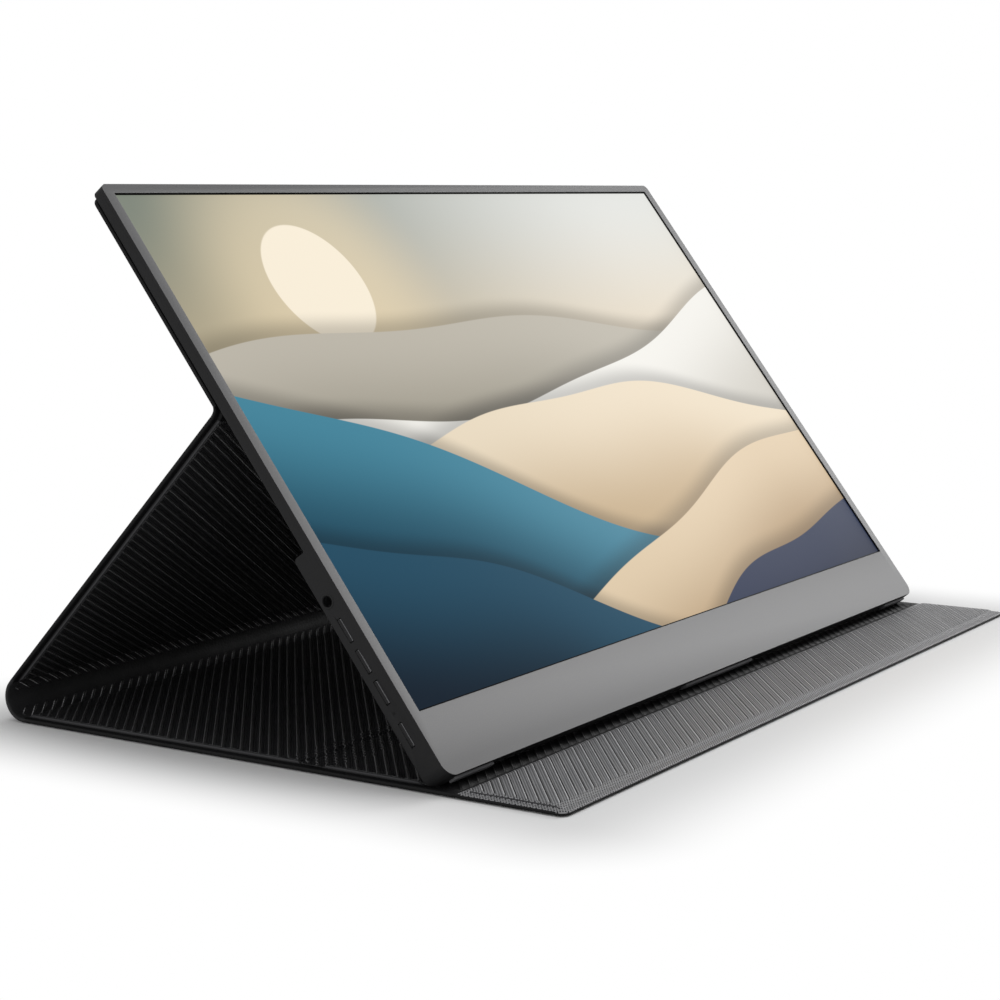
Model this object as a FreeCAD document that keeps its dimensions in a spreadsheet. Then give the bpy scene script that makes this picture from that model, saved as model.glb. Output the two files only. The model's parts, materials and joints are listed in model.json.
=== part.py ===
"""Portable monitor standing in its folding cover.

Millimetres, +Z up. The origin is the middle of the footprint, on the surface the cover lies on.
The screen faces -Y and leans back, X runs along the screen, and the spine of the cover is at +Y.
Every panel of the cover and the whole monitor are drawn flat in a frame of their own and then
tilted into place. The two tilts follow from the lengths of the triangle that the cover makes.
"""
import FreeCAD, Part
import math
import os
import Sketcher

# Driving sizes, one cell each in the sheet

SIZES = {
    # Monitor outline, seen from the front
    "screen_width": 345.6,
    "screen_height": 195.0,
    "side_border": 4.5,
    "top_border": 3.6,
    "chin_height": 22.3,
    "top_corner_radius": 2.5,
    "bottom_corner_radius": 5.0,
    # Front frame and the display behind it
    "frame_thick": 1.2,
    "frame_lip": 0.6,
    "lcd_thick": 1.0,
    "lcd_side_cover": 1.6,
    "lcd_top_cover": 1.2,
    "lcd_foot_cover": 4.0,
    "lcd_gap": 0.2,
    "film_thick": 0.3,
    "film_inset": 0.4,
    "guide_thick": 0.6,
    "led_bar_height": 1.5,
    "led_bar_gap": 0.1,
    "tray_wall": 0.4,
    "tray_floor": 0.4,
    # Rear housing
    "housing_wall": 1.2,
    "slim_depth": 4.3,
    "slim_skin": 0.8,
    "bulge_depth": 9.0,
    "bulge_skin": 1.0,
    "bulge_height": 82.8,
    "bulge_step_radius": 1.5,
    "heel_radius": 3.2,
    "corner_post": 2.2,
    # Controls on the left side
    "jack_height": 65.8,
    "jack_depth": 5.9,
    "jack_bore_radius": 1.8,
    "jack_bore_length": 14.8,
    "jack_body_width": 6.4,
    "jack_body_thick": 4.0,
    "jack_end_wall": 1.0,
    "button_depth": 5.5,
    "button_length": 8.2,
    "button_thick": 1.3,
    "button_gap": 0.15,
    "button_proud": 0.25,
    "button_travel": 0.4,
    "button_flange": 0.8,
    "button_flange_thick": 0.6,
    "button_seat_gap": 0.05,
    "menu_button_height": 55.1,
    "menu_button_pitch": 11.1,
    "power_button_height": 17.95,
    "led_height": 25.5,
    "led_radius": 0.5,
    "led_gap": 0.05,
    "switch_thick": 1.6,
    "switch_length": 3.6,
    "switch_width": 2.6,
    "side_board_thick": 1.0,
    "side_board_width": 3.6,
    "side_board_margin": 2.5,
    # Sockets on the right side
    "socket_height": 58.0,
    "socket_pitch": 17.0,
    "socket_depth": 5.0,
    "socket_shell": 0.3,
    "socket_gap": 0.1,
    "usb_width": 8.4,
    "usb_thick": 2.6,
    "usb_length": 7.6,
    "usb_tongue_width": 6.6,
    "usb_tongue_thick": 0.7,
    "usb_tongue_length": 5.0,
    "hdmi_width": 10.5,
    "hdmi_thick": 2.8,
    "hdmi_length": 7.4,
    "hdmi_tongue_width": 8.2,
    "hdmi_tongue_thick": 0.8,
    "hdmi_tongue_length": 4.6,
    # Boards, battery and speakers in the thick lower part
    "main_board_thick": 0.8,
    "main_board_length": 78.0,
    "main_board_height": 56.0,
    "main_board_edge": 1.0,
    "main_board_foot": 20.0,
    "chip_large": 14.0,
    "chip_small": 8.0,
    "chip_thick": 1.0,
    "boss_radius": 2.2,
    "screw_radius": 0.75,
    "screw_gap": 0.05,
    "screw_head_radius": 1.7,
    "screw_head_thick": 0.7,
    "screw_inset": 10.0,
    "driver_board_length": 260.0,
    "driver_board_height": 10.5,
    "driver_board_thick": 0.8,
    "driver_board_drop": 3.0,
    "flex_width": 20.0,
    "flex_pitch": 48.0,
    "flex_overlap": 2.0,
    "flex_thick": 0.15,
    "cable_width": 16.0,
    "cable_thick": 0.25,
    "cable_inset": 5.0,
    "battery_length": 180.0,
    "battery_height": 58.0,
    "battery_thick": 4.4,
    "battery_side": 48.0,
    "battery_foot": 19.0,
    "speaker_length": 34.0,
    "speaker_height": 13.0,
    "speaker_thick": 2.3,
    "speaker_side": 20.0,
    "speaker_slot_count": 4,
    "speaker_slot_length": 4.0,
    "speaker_slot_width": 1.0,
    "speaker_slot_pitch": 6.0,
    "seat_gap": 0.1,
    # Plates in the back that the magnets of the cover hold
    "steel_length": 70.0,
    "steel_height": 24.0,
    "steel_thick": 0.5,
    "steel_side": 78.0,
    "steel_drop": 32.0,
    # Feet under the bottom edge
    "foot_proud": 0.8,
    "foot_sunk": 0.4,
    "foot_width": 3.0,
    "foot_depth": 3.6,
    "end_foot_length": 21.0,
    "end_foot_margin": 5.8,
    "middle_foot_length": 52.0,
    # Cover
    "cover_side_margin": 0.3,
    "cover_depth": 226.4,
    "skin_thick": 0.7,
    "board_thick": 0.9,
    "lining_thick": 0.7,
    "board_inset": 3.0,
    "panel_corner_radius": 3.0,
    "flap_depth": 37.8,
    "foot_crease_depth": 15.0,
    "middle_depth": 36.9,
    "middle_crease_depth": 9.8,
    "fold_gap": 0.95,
    "spine_radius": 8.0,
    "spine_gap": 0.8,
    "prop_length": 137.7,
    "fold_reach": 2.6,
    "top_skin_thick": 0.5,
    "top_board_thick": 0.7,
    "top_lining_thick": 0.4,
    "top_panel_gap": 0.1,
    "top_panel_margin": 1.7,
    "magnet_radius": 5.0,
    "magnet_gap": 0.1,
    "magnet_pitch": 16.0,
    # Where the monitor meets the cover
    "top_fold_drop": 85.1,
    "heel_setback": 5.4,
    "heel_clearance": 0.3,
    # One overrun for every cut that goes through
    "overrun": 1.0,
}

# How near a measured place has to be to count as the same place

SLACK = 0.001

doc = FreeCAD.newDocument("portable_monitor")
sheet = doc.addObject("Spreadsheet::Sheet", "Sizes")
for row, (alias, number) in enumerate(SIZES.items(), start=1):
    sheet.set(f"A{row}", alias)
    sheet.set(f"B{row}", str(number))
    sheet.setAlias(f"B{row}", alias)
doc.recompute()


def s(text):
    """Turns the size names in a formula into cells of the sheet."""
    words = []
    word = ""
    for letter in text + " ":
        if letter.isalnum() or letter in "_.":
            word += letter
            continue
        words.append(f"Sizes.{word}" if word in SIZES else word)
        words.append(letter)
        word = ""
    return "(" + "".join(words).strip() + ")"


def value(formula):
    """The number that a formula of sheet cells gives."""
    return float(sheet.evalExpression(formula))


# Planes of the monitor's own frame: x along the screen, y up it, z out of its face

EAST = s("screen_width / 2 + side_border")
NORTH = s("screen_height / 2 + top_border")
SOUTH = s("0 - screen_height / 2 - chin_height")
SCREEN_EAST = s("screen_width / 2")
SCREEN_NORTH = s("screen_height / 2")
INNER_EAST = f"({EAST} - Sizes.housing_wall)"
INNER_NORTH = f"({NORTH} - Sizes.housing_wall)"
INNER_SOUTH = f"({SOUTH} + Sizes.housing_wall)"
FRAME_BACK = s("0 - frame_thick")
SLIM_BACK = s("0 - slim_depth")
SLIM_FLOOR = s("0 - slim_depth + slim_skin")
BULGE_BACK = s("0 - bulge_depth")
BULGE_FLOOR = s("0 - bulge_depth + bulge_skin")
BULGE_NORTH = f"({SOUTH} + Sizes.bulge_height)"
LCD_EAST = f"({SCREEN_EAST} + Sizes.lcd_side_cover)"
LCD_NORTH = f"({SCREEN_NORTH} + Sizes.lcd_top_cover)"
LCD_SOUTH = s("0 - screen_height / 2 - lcd_foot_cover")
LCD_FRONT = s("0 - frame_lip")
LCD_BACK = s("0 - frame_lip - lcd_thick")
FILM_BACK = f"({LCD_BACK} - Sizes.film_thick)"
GUIDE_BACK = f"({FILM_BACK} - Sizes.guide_thick)"
TRAY_BACK = f"({GUIDE_BACK} - Sizes.tray_floor)"
BAR_NORTH = f"({LCD_SOUTH} - Sizes.led_bar_gap)"
BAR_SOUTH = f"({BAR_NORTH} - Sizes.led_bar_height)"
TRAY_CAVITY_SOUTH = f"({BAR_SOUTH} - Sizes.lcd_gap)"

# Lines of the cover's side view, from front to back, and the thicknesses of its layers

FRONT = s("0 - cover_depth / 2")
FLAP_END = s("flap_depth - cover_depth / 2")
FLAP_HINGE = s("flap_depth + fold_gap - cover_depth / 2")
MIDDLE = s("flap_depth + foot_crease_depth - cover_depth / 2")
MIDDLE_END = f"({MIDDLE} + Sizes.middle_depth)"
REAR = f"({MIDDLE_END} + Sizes.middle_crease_depth)"
SPINE = s("cover_depth / 2 - spine_radius")
SKIN_TOP = s("skin_thick")
BOARD_TOP = s("skin_thick + board_thick")
PANEL_THICK = s("skin_thick + board_thick + lining_thick")
CREASE_THICK = s("skin_thick + lining_thick")
TOP_THICK = s("top_skin_thick + top_board_thick + top_lining_thick")
HALF_COVER = s("screen_width / 2 + side_border + cover_side_margin")

# The triangle: foot of the screen in its crease, spine, and fold at the screen's back


def heel_centre():
    """Centre of the round at the monitor's heel, in its own y and z."""
    radius = value(s("heel_radius"))
    return value(SOUTH) + radius, value(BULGE_BACK) + radius


def top_fold():
    """Line of the fold behind the screen, in the monitor's own y and z."""
    depth = value(s("slim_depth + top_panel_gap")) + value(TOP_THICK) / 2
    return value(NORTH) - value(s("top_fold_drop")), -depth


def triangle():
    """Solves the side view: the screen's lean, the prop's lean and the screen's centre."""
    heel_y, heel_z = heel_centre()
    fold_y, fold_z = top_fold()
    heel_radius = value(s("heel_radius"))
    spine_y = value(SPINE)
    stand_y = value(MIDDLE) - value(s("heel_setback"))
    stand_z = value(CREASE_THICK) + value(s("heel_clearance")) + heel_radius
    spine_radius = value(s("spine_radius"))
    middle_radius = spine_radius - value(PANEL_THICK) / 2
    screen_side = math.hypot(fold_y - heel_y, fold_z - heel_z)
    prop_side = math.hypot(value(s("prop_length")), middle_radius)
    floor_side = math.hypot(spine_y - stand_y, spine_radius - stand_z)
    heel_corner = math.acos(
        (screen_side**2 + floor_side**2 - prop_side**2) / (2 * screen_side * floor_side)
    )
    floor_slope = math.atan2(spine_radius - stand_z, spine_y - stand_y)
    side_slope = math.atan2(fold_z - heel_z, fold_y - heel_y)
    lean = heel_corner + floor_slope - side_slope
    centre_y = stand_y - heel_y * math.cos(lean) + heel_z * math.sin(lean)
    centre_z = stand_z - heel_y * math.sin(lean) - heel_z * math.cos(lean)
    fold_at_y = centre_y + fold_y * math.cos(lean) - fold_z * math.sin(lean)
    fold_at_z = centre_z + fold_y * math.sin(lean) + fold_z * math.cos(lean)
    reach = math.atan2(fold_at_z - spine_radius, fold_at_y - spine_y)
    prop_lean = reach + math.atan2(middle_radius, value(s("prop_length")))
    return lean, prop_lean, (centre_y, centre_z), (fold_at_y, fold_at_z)


LEAN, PROP_LEAN, SCREEN_CENTRE, TOP_FOLD = triangle()


def tilted(angle, y, z):
    """A frame turned about X, with its origin at y, z in the side view."""
    turn = FreeCAD.Rotation(FreeCAD.Vector(1, 0, 0), math.degrees(angle))
    return FreeCAD.Placement(FreeCAD.Vector(0, y, z), turn)


MONITOR = tilted(LEAN, *SCREEN_CENTRE)
COVER = FreeCAD.Placement()
SPINE_RADIUS = value(s("spine_radius"))
SPINE_BEND = tilted(-math.pi / 2, value(SPINE), SPINE_RADIUS)
PROP = tilted(
    PROP_LEAN,
    value(SPINE) + SPINE_RADIUS * math.sin(PROP_LEAN),
    SPINE_RADIUS - SPINE_RADIUS * math.cos(PROP_LEAN),
)
TOP_PANEL = tilted(LEAN, *TOP_FOLD)

# Making of solids: a body holds blocks, plates, cylinders and the cuts in them

parts = []
expected = []


def body(label, placement):
    """A new sub-part, placed in the whole and drawn in its own flat frame."""
    item = doc.addObject("PartDesign::Body", label)
    item.Label = label
    item.AllowCompound = True
    item.Placement = placement
    parts.append(item)
    return item


def plane(item, role):
    """One of the three origin planes of a body."""
    return next(face for face in item.Origin.OriginFeatures if face.Role == role)


def expect(feature, adds):
    """Notes that a feature has to add to its body, or has to take away from it."""
    expected.append((feature, adds))
    return feature


def block(item, name, x_span, y_span, z_span, adds=True):
    """A straight block between three pairs of planes, added or cut away."""
    kind = "PartDesign::AdditiveBox" if adds else "PartDesign::SubtractiveBox"
    box = item.newObject(kind, name)
    box.AttachmentSupport = [(plane(item, "XY_Plane"), "")]
    box.MapMode = "FlatFace"
    for side, axis, (low, high) in zip(
        ("Length", "Width", "Height"), "xyz", (x_span, y_span, z_span)
    ):
        box.setExpression(side, f"({high}) - ({low})")
        box.setExpression(f"AttachmentOffset.Base.{axis}", f"{low}")
    return expect(box, adds)


def rod(item, name, along, at, span, radius, adds=True):
    """A round rod or hole along X or Z, between two planes across it."""
    kind = "PartDesign::AdditiveCylinder" if adds else "PartDesign::SubtractiveCylinder"
    bar = item.newObject(kind, name)
    bar.AttachmentSupport = [(plane(item, "YZ_Plane" if along == "x" else "XY_Plane"), "")]
    bar.MapMode = "FlatFace"
    bar.setExpression("Radius", radius)
    bar.setExpression("Height", f"({span[1]}) - ({span[0]})")
    for axis, formula in zip("xyz", (*at, span[0])):
        bar.setExpression(f"AttachmentOffset.Base.{axis}", formula)
    return expect(bar, adds)


def rounded_sketch(item, name, level, x_span, y_span, south_radius, north_radius, margin=None):
    """A rectangle with round corners on a plane at a level, alone or inside a larger one."""
    sketch = item.newObject("Sketcher::SketchObject", name)
    sketch.AttachmentSupport = [(plane(item, "XY_Plane"), "")]
    sketch.MapMode = "FlatFace"
    sketch.setExpression("AttachmentOffset.Base.z", level)
    west, east = value(x_span[0]), value(x_span[1])
    south, north = value(y_span[0]), value(y_span[1])
    low, high = value(south_radius), value(north_radius)
    corners = (
        (east - low, south + low, low, -math.pi / 2, 0),
        (east - high, north - high, high, 0, math.pi / 2),
        (west + high, north - high, high, math.pi / 2, math.pi),
        (west + low, south + low, low, math.pi, 3 * math.pi / 2),
    )
    arcs = []
    for x, y, radius, start, end in corners:
        circle = Part.Circle(FreeCAD.Vector(x, y, 0), FreeCAD.Vector(0, 0, 1), radius)
        arcs.append(sketch.addGeometry(Part.ArcOfCircle(circle, start, end), False))
    lines = []
    for turn, arc in enumerate(arcs):
        after = arcs[(turn + 1) % len(arcs)]
        start = sketch.getPoint(arc, 2)
        end = sketch.getPoint(after, 1)
        lines.append(sketch.addGeometry(Part.LineSegment(start, end), False))
        sketch.addConstraint(Sketcher.Constraint("Tangent", arc, 2, lines[-1], 1))
        sketch.addConstraint(Sketcher.Constraint("Tangent", lines[-1], 2, after, 1))
    east_line, north_line, west_line, south_line = lines
    sketch.addConstraint(Sketcher.Constraint("Vertical", east_line))
    sketch.addConstraint(Sketcher.Constraint("Vertical", west_line))
    sketch.addConstraint(Sketcher.Constraint("Horizontal", north_line))
    sketch.addConstraint(Sketcher.Constraint("Horizontal", south_line))
    ruled = (
        ("DistanceX", east_line, east, x_span[1]),
        ("DistanceX", west_line, west, x_span[0]),
        ("DistanceY", north_line, north, y_span[1]),
        ("DistanceY", south_line, south, y_span[0]),
    )
    for kind, line, number, formula in ruled:
        rule = sketch.addConstraint(Sketcher.Constraint(kind, -1, 1, line, 1, number))
        sketch.setExpression(f"Constraints[{rule}]", formula)
    for arc, number, formula in (
        (arcs[0], low, south_radius),
        (arcs[1], high, north_radius),
        (arcs[2], high, north_radius),
        (arcs[3], low, south_radius),
    ):
        rule = sketch.addConstraint(Sketcher.Constraint("Radius", arc, number))
        sketch.setExpression(f"Constraints[{rule}]", formula)
    if margin:
        outer_rectangle(sketch, x_span, y_span, margin)
    return sketch


def outer_rectangle(sketch, x_span, y_span, margin):
    """A plain rectangle that stands off the spans by a margin, so that the ring is cut away."""
    signs = ((-1, -1), (1, -1), (1, 1), (-1, 1))
    corners = [
        (f"{x_span[max(a, 0)]} + {a} * {margin}", f"{y_span[max(b, 0)]} + {b} * {margin}")
        for a, b in signs
    ]
    points = [FreeCAD.Vector(value(x), value(y), 0) for x, y in corners]
    lines = [
        sketch.addGeometry(Part.LineSegment(point, points[(turn + 1) % 4]), False)
        for turn, point in enumerate(points)
    ]
    for turn, line in enumerate(lines):
        after = lines[(turn + 1) % 4]
        sketch.addConstraint(Sketcher.Constraint("Coincident", line, 2, after, 1))
        for kind, formula in zip(("DistanceX", "DistanceY"), corners[turn]):
            rule = sketch.addConstraint(
                Sketcher.Constraint(kind, -1, 1, line, 1, value(formula))
            )
            sketch.setExpression(f"Constraints[{rule}]", formula)


def pad(item, sketch, thick):
    """Fills a sketch upwards by a thickness."""
    feature = item.newObject("PartDesign::Pad", f"{sketch.Name}_pad")
    feature.Profile = sketch
    feature.setExpression("Length", thick)
    return expect(feature, True)


def pocket(item, sketch, depth):
    """Cuts a sketch upwards, into the solid above its plane."""
    feature = item.newObject("PartDesign::Pocket", f"{sketch.Name}_pocket")
    feature.Profile = sketch
    feature.setExpression("Length", depth)
    feature.Reversed = True
    return expect(feature, False)


def round_edges(item, name, radius, wanted, along=FreeCAD.Vector(1, 0, 0)):
    """Rounds the straight edges along a direction whose middles pass the test."""
    doc.recompute()
    base = item.Tip
    names = [
        f"Edge{count}"
        for count, edge in enumerate(base.Shape.Edges, start=1)
        if isinstance(edge.Curve, Part.Line)
        and abs(edge.tangentAt(edge.FirstParameter).dot(along)) > math.cos(math.pi / 8)
        and wanted(edge.CenterOfMass)
    ]
    feature = item.newObject("PartDesign::Fillet", name)
    feature.Base = (base, names)
    feature.setExpression("Radius", radius)
    expect(feature, None)


def near(point, y_formula, z_formula):
    """Whether a point of a side view lies at two planes."""
    return abs(point.y - value(y_formula)) < SLACK and abs(point.z - value(z_formula)) < SLACK


def both(east):
    """The span that is as wide on both sides of the middle."""
    return f"(0 - {east})", east


# Display stack

def make_front_frame():
    frame = body("front_frame", MONITOR)
    outline = rounded_sketch(
        frame, "frame_outline", FRAME_BACK, both(EAST), (SOUTH, NORTH),
        s("bottom_corner_radius"), s("top_corner_radius"),
    )
    pad(frame, outline, s("frame_thick"))
    over = s("overrun")
    block(
        frame, "screen_opening", both(SCREEN_EAST), both(SCREEN_NORTH),
        (f"({FRAME_BACK} - {over})", over), adds=False,
    )
    gap = s("lcd_gap")
    block(
        frame, "lcd_rebate", both(f"({LCD_EAST} + {gap})"),
        (f"({LCD_SOUTH} - {gap})", f"({LCD_NORTH} + {gap})"),
        (f"({FRAME_BACK} - {over})", LCD_FRONT), adds=False,
    )


def make_display():
    cell = body("lcd_panel", MONITOR)
    block(cell, "glass", both(LCD_EAST), (LCD_SOUTH, LCD_NORTH), (LCD_BACK, LCD_FRONT))
    inset = s("film_inset")
    films = body("diffuser_films", MONITOR)
    east = f"({LCD_EAST} - {inset})"
    span = (LCD_SOUTH, f"({LCD_NORTH} - {inset})")
    block(films, "films", both(east), span, (FILM_BACK, LCD_BACK))
    guide = body("light_guide", MONITOR)
    block(guide, "guide", both(east), span, (GUIDE_BACK, FILM_BACK))
    bar = body("backlight_led_bar", MONITOR)
    block(bar, "bar", both(east), (BAR_SOUTH, BAR_NORTH), (GUIDE_BACK, FILM_BACK))


def make_tray():
    tray = body("backlight_tray", MONITOR)
    wall = s("tray_wall")
    block(
        tray, "tray", both(f"({LCD_EAST} + {wall})"),
        (f"({TRAY_CAVITY_SOUTH} - {wall})", f"({LCD_NORTH} + {wall})"), (TRAY_BACK, LCD_BACK),
    )
    block(
        tray, "tray_inside", both(LCD_EAST), (TRAY_CAVITY_SOUTH, LCD_NORTH),
        (GUIDE_BACK, s("overrun")), adds=False,
    )


# Rear housing with its two depths

def hollow(housing, name, north, floor):
    """Hollows one depth, but leaves a post in each bottom corner, behind the round outside."""
    over = s("overrun")
    post = s("corner_post")
    block(
        housing, name, both(f"({INNER_EAST} - {post})"), (INNER_SOUTH, north), (floor, over),
        adds=False,
    )
    block(
        housing, f"{name}_sides", both(INNER_EAST), (f"({INNER_SOUTH} + {post})", north),
        (floor, over), adds=False,
    )


def make_rear_housing():
    housing = body("rear_housing", MONITOR)
    over = s("overrun")
    block(housing, "slim_part", both(EAST), (SOUTH, NORTH), (SLIM_BACK, FRAME_BACK))
    block(housing, "bulge", both(EAST), (SOUTH, BULGE_NORTH), (BULGE_BACK, SLIM_BACK))
    round_edges(housing, "heel", s("heel_radius"), lambda p: near(p, SOUTH, BULGE_BACK))
    round_edges(
        housing, "step", s("bulge_step_radius"), lambda p: near(p, BULGE_NORTH, BULGE_BACK)
    )
    trim = rounded_sketch(
        housing, "corner_trim", f"({BULGE_BACK} - {over})", both(EAST), (SOUTH, NORTH),
        s("bottom_corner_radius"), s("top_corner_radius"), margin=s("bottom_corner_radius"),
    )
    pocket(housing, trim, f"({over} * 2 - {BULGE_BACK})")
    hollow(housing, "slim_inside", INNER_NORTH, SLIM_FLOOR)
    hollow(housing, "bulge_inside", f"({BULGE_NORTH} - Sizes.housing_wall)", BULGE_FLOOR)
    round_edges(
        housing, "heel_inside", s("heel_radius - bulge_skin"),
        lambda p: near(p, INNER_SOUTH, BULGE_FLOOR),
    )
    cut_left_side(housing)
    cut_right_side(housing)
    cut_bottom(housing)
    for count, (x, y) in enumerate(screw_places(), start=1):
        rod(housing, f"boss_{count}", "z", (x, y), (BULGE_FLOOR, BOARD_BACK), s("boss_radius"))
        rod(
            housing, f"boss_bore_{count}", "z", (x, y), (BULGE_FLOOR, f"({BOARD_BACK} + {over})"),
            s("screw_radius + screw_gap"), adds=False,
        )


def side_height(formula):
    """Height above the bottom edge as a place in the monitor's frame."""
    return f"({SOUTH} + {s(formula)})"


BUTTONS = {
    "menu_button_1": side_height("menu_button_height"),
    "menu_button_2": side_height("menu_button_height - menu_button_pitch"),
    "menu_button_3": side_height("menu_button_height - menu_button_pitch * 2"),
    "power_button": side_height("power_button_height"),
}
BUTTON_Z = s("0 - button_depth")
JACK_Y = side_height("jack_height")
JACK_Z = s("0 - jack_depth")
LED_Y = side_height("led_height")
LEFT_FACE = f"(0 - {EAST})"
LEFT_INNER = f"(0 - {INNER_EAST})"


def about(middle, width):
    """The span of a width about a middle."""
    return f"({middle} - {width} / 2)", f"({middle} + {width} / 2)"


def cut_left_side(housing):
    over = s("overrun")
    span = (f"({LEFT_FACE} - {over})", f"({LEFT_INNER} + {over})")
    rod(housing, "jack_hole", "x", (JACK_Y, JACK_Z), span, s("jack_bore_radius"), adds=False)
    rod(housing, "led_hole", "x", (LED_Y, BUTTON_Z), span, s("led_radius + led_gap"), adds=False)
    for name, y in BUTTONS.items():
        block(
            housing, f"{name}_slot", span, about(y, s("button_length + button_gap * 2")),
            about(BUTTON_Z, s("button_thick + button_gap * 2")), adds=False,
        )


SOCKETS = (
    ("hdmi_port", "hdmi", side_height("socket_height")),
    ("usb_c_port_1", "usb", side_height("socket_height - socket_pitch")),
    ("usb_c_port_2", "usb", side_height("socket_height - socket_pitch * 2")),
)
SOCKET_Z = s("0 - socket_depth")


def cut_right_side(housing):
    over = s("overrun")
    span = (f"({INNER_EAST} - {over})", f"({EAST} + {over})")
    for name, kind, y in SOCKETS:
        grow = "socket_shell * 2 + socket_gap * 2"
        block(
            housing, f"{name}_hole", span, about(y, s(f"{kind}_width + {grow}")),
            about(SOCKET_Z, s(f"{kind}_thick + {grow}")), adds=False,
        )


SPEAKER_EAST = f"({INNER_EAST} - {s('speaker_side')})"
SPEAKER_MIDDLE = f"({SPEAKER_EAST} - {s('speaker_length / 2')})"


def cut_bottom(housing):
    """Slots for the sound, and the beds of the three feet."""
    over = s("overrun")
    count = int(value(s("speaker_slot_count")))
    slot_z = (f"({SLIM_BACK} - {s('speaker_slot_width')})", SLIM_BACK)
    for side in (-1, 1):
        for number in range(count):
            shift = f"{number - (count - 1) / 2} * {s('speaker_slot_pitch')}"
            middle = f"({side} * {SPEAKER_MIDDLE} + {shift})"
            block(
                housing, f"speaker_slot_{'left' if side < 0 else 'right'}_{number + 1}",
                about(middle, s("speaker_slot_length")),
                (f"({SOUTH} - {over})", f"({INNER_SOUTH} + {over})"), slot_z, adds=False,
            )
    for name, middle, length in FEET:
        block(
            housing, f"{name}_bed", about(middle, length),
            (f"({SOUTH} - {over})", f"({SOUTH} + {s('foot_sunk')})"), FOOT_SPAN, adds=False,
        )


END_FOOT_MIDDLE = f"({EAST} - {s('end_foot_margin + end_foot_length / 2')})"
FEET = (
    ("left_foot", f"(0 - {END_FOOT_MIDDLE})", s("end_foot_length")),
    ("middle_foot", "0", s("middle_foot_length")),
    ("right_foot", END_FOOT_MIDDLE, s("end_foot_length")),
)
FOOT_SPAN = about(s("0 - foot_depth"), s("foot_width"))


def make_feet():
    feet = body("rubber_feet", MONITOR)
    for name, middle, length in FEET:
        block(
            feet, name, about(middle, length),
            (f"({SOUTH} - {s('foot_proud')})", f"({SOUTH} + {s('foot_sunk')})"), FOOT_SPAN,
        )


# Controls: four buttons, their switches, the status light and the sound socket

FLANGE_WEST = f"({LEFT_INNER} + {s('button_seat_gap')})"
FLANGE_EAST = f"({FLANGE_WEST} + {s('button_flange_thick')})"
SWITCH_WEST = f"({FLANGE_EAST} + {s('button_travel + button_seat_gap')})"
SWITCH_EAST = f"({SWITCH_WEST} + {s('switch_thick')})"


def make_buttons():
    for name, y in BUTTONS.items():
        button = body(name, MONITOR)
        block(
            button, f"{name}_cap", (f"({LEFT_FACE} - {s('button_proud')})", FLANGE_WEST),
            about(y, s("button_length")), about(BUTTON_Z, s("button_thick")),
        )
        block(
            button, f"{name}_flange", (FLANGE_WEST, FLANGE_EAST),
            about(y, s("button_length + button_flange * 2")),
            about(BUTTON_Z, s("button_thick + button_flange * 2")),
        )


def make_side_board():
    """The board that stands behind the buttons, with a switch for each."""
    board = body("button_board", MONITOR)
    margin = s("button_length / 2 + side_board_margin")
    block(
        board, "board", (SWITCH_EAST, f"({SWITCH_EAST} + {s('side_board_thick')})"),
        (f"({BUTTONS['power_button']} - {margin})", f"({BUTTONS['menu_button_1']} + {margin})"),
        about(BUTTON_Z, s("side_board_width")),
    )
    block(
        board, "board_foot", (SWITCH_EAST, f"({SWITCH_EAST} + {s('side_board_thick')})"),
        about(LED_Y, s("side_board_margin")), (BULGE_FLOOR, BUTTON_Z),
    )
    switches = body("button_switches", MONITOR)
    for name, y in BUTTONS.items():
        block(
            switches, f"{name}_switch", (SWITCH_WEST, SWITCH_EAST),
            about(y, s("switch_length")), about(BUTTON_Z, s("switch_width")),
        )
    light = body("led_light_pipe", MONITOR)
    rod(light, "pipe", "x", (LED_Y, BUTTON_Z), (LEFT_FACE, SWITCH_EAST), s("led_radius"))


def make_audio_jack():
    jack = body("audio_jack", MONITOR)
    bore_end = f"({LEFT_FACE} + {s('jack_bore_length')})"
    block(
        jack, "jack_body", (LEFT_INNER, f"({bore_end} + {s('jack_end_wall')})"),
        about(JACK_Y, s("jack_body_width")), about(JACK_Z, s("jack_body_thick")),
    )
    rod(
        jack, "jack_bore", "x", (JACK_Y, JACK_Z), (f"({LEFT_FACE} - {s('overrun')})", bore_end),
        s("jack_bore_radius"), adds=False,
    )


def make_sockets():
    """Metal shells open to the right, each with its contact tongue, seated on the main board."""
    for name, kind, y in SOCKETS:
        port = body(name, MONITOR)
        shell = s("socket_shell")
        width, thick = s(f"{kind}_width"), s(f"{kind}_thick")
        west = f"({EAST} - {s(f'{kind}_length')})"
        z_span = about(SOCKET_Z, f"({thick} + {shell} * 2)")
        block(port, f"{name}_shell", (west, EAST), about(y, f"({width} + {shell} * 2)"), z_span)
        block(
            port, f"{name}_mouth", (f"({west} + {shell})", f"({EAST} + {s('overrun')})"),
            about(y, width), about(SOCKET_Z, thick), adds=False,
        )
        tongue = f"({west} + {shell} + {s(f'{kind}_tongue_length')})"
        block(
            port, f"{name}_tongue", (west, tongue), about(y, s(f"{kind}_tongue_width")),
            about(SOCKET_Z, s(f"{kind}_tongue_thick")),
        )


# Boards, cables, battery and speakers

BOARD_FRONT = f"({SOCKET_Z} - {s('hdmi_thick / 2 + socket_shell')})"
BOARD_BACK = f"({BOARD_FRONT} - {s('main_board_thick')})"
BOARD_EAST = f"({INNER_EAST} - {s('main_board_edge')})"
BOARD_WEST = f"({BOARD_EAST} - {s('main_board_length')})"
BOARD_SOUTH = f"({INNER_SOUTH} + {s('main_board_foot')})"
BOARD_NORTH = f"({BOARD_SOUTH} + {s('main_board_height')})"


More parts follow.
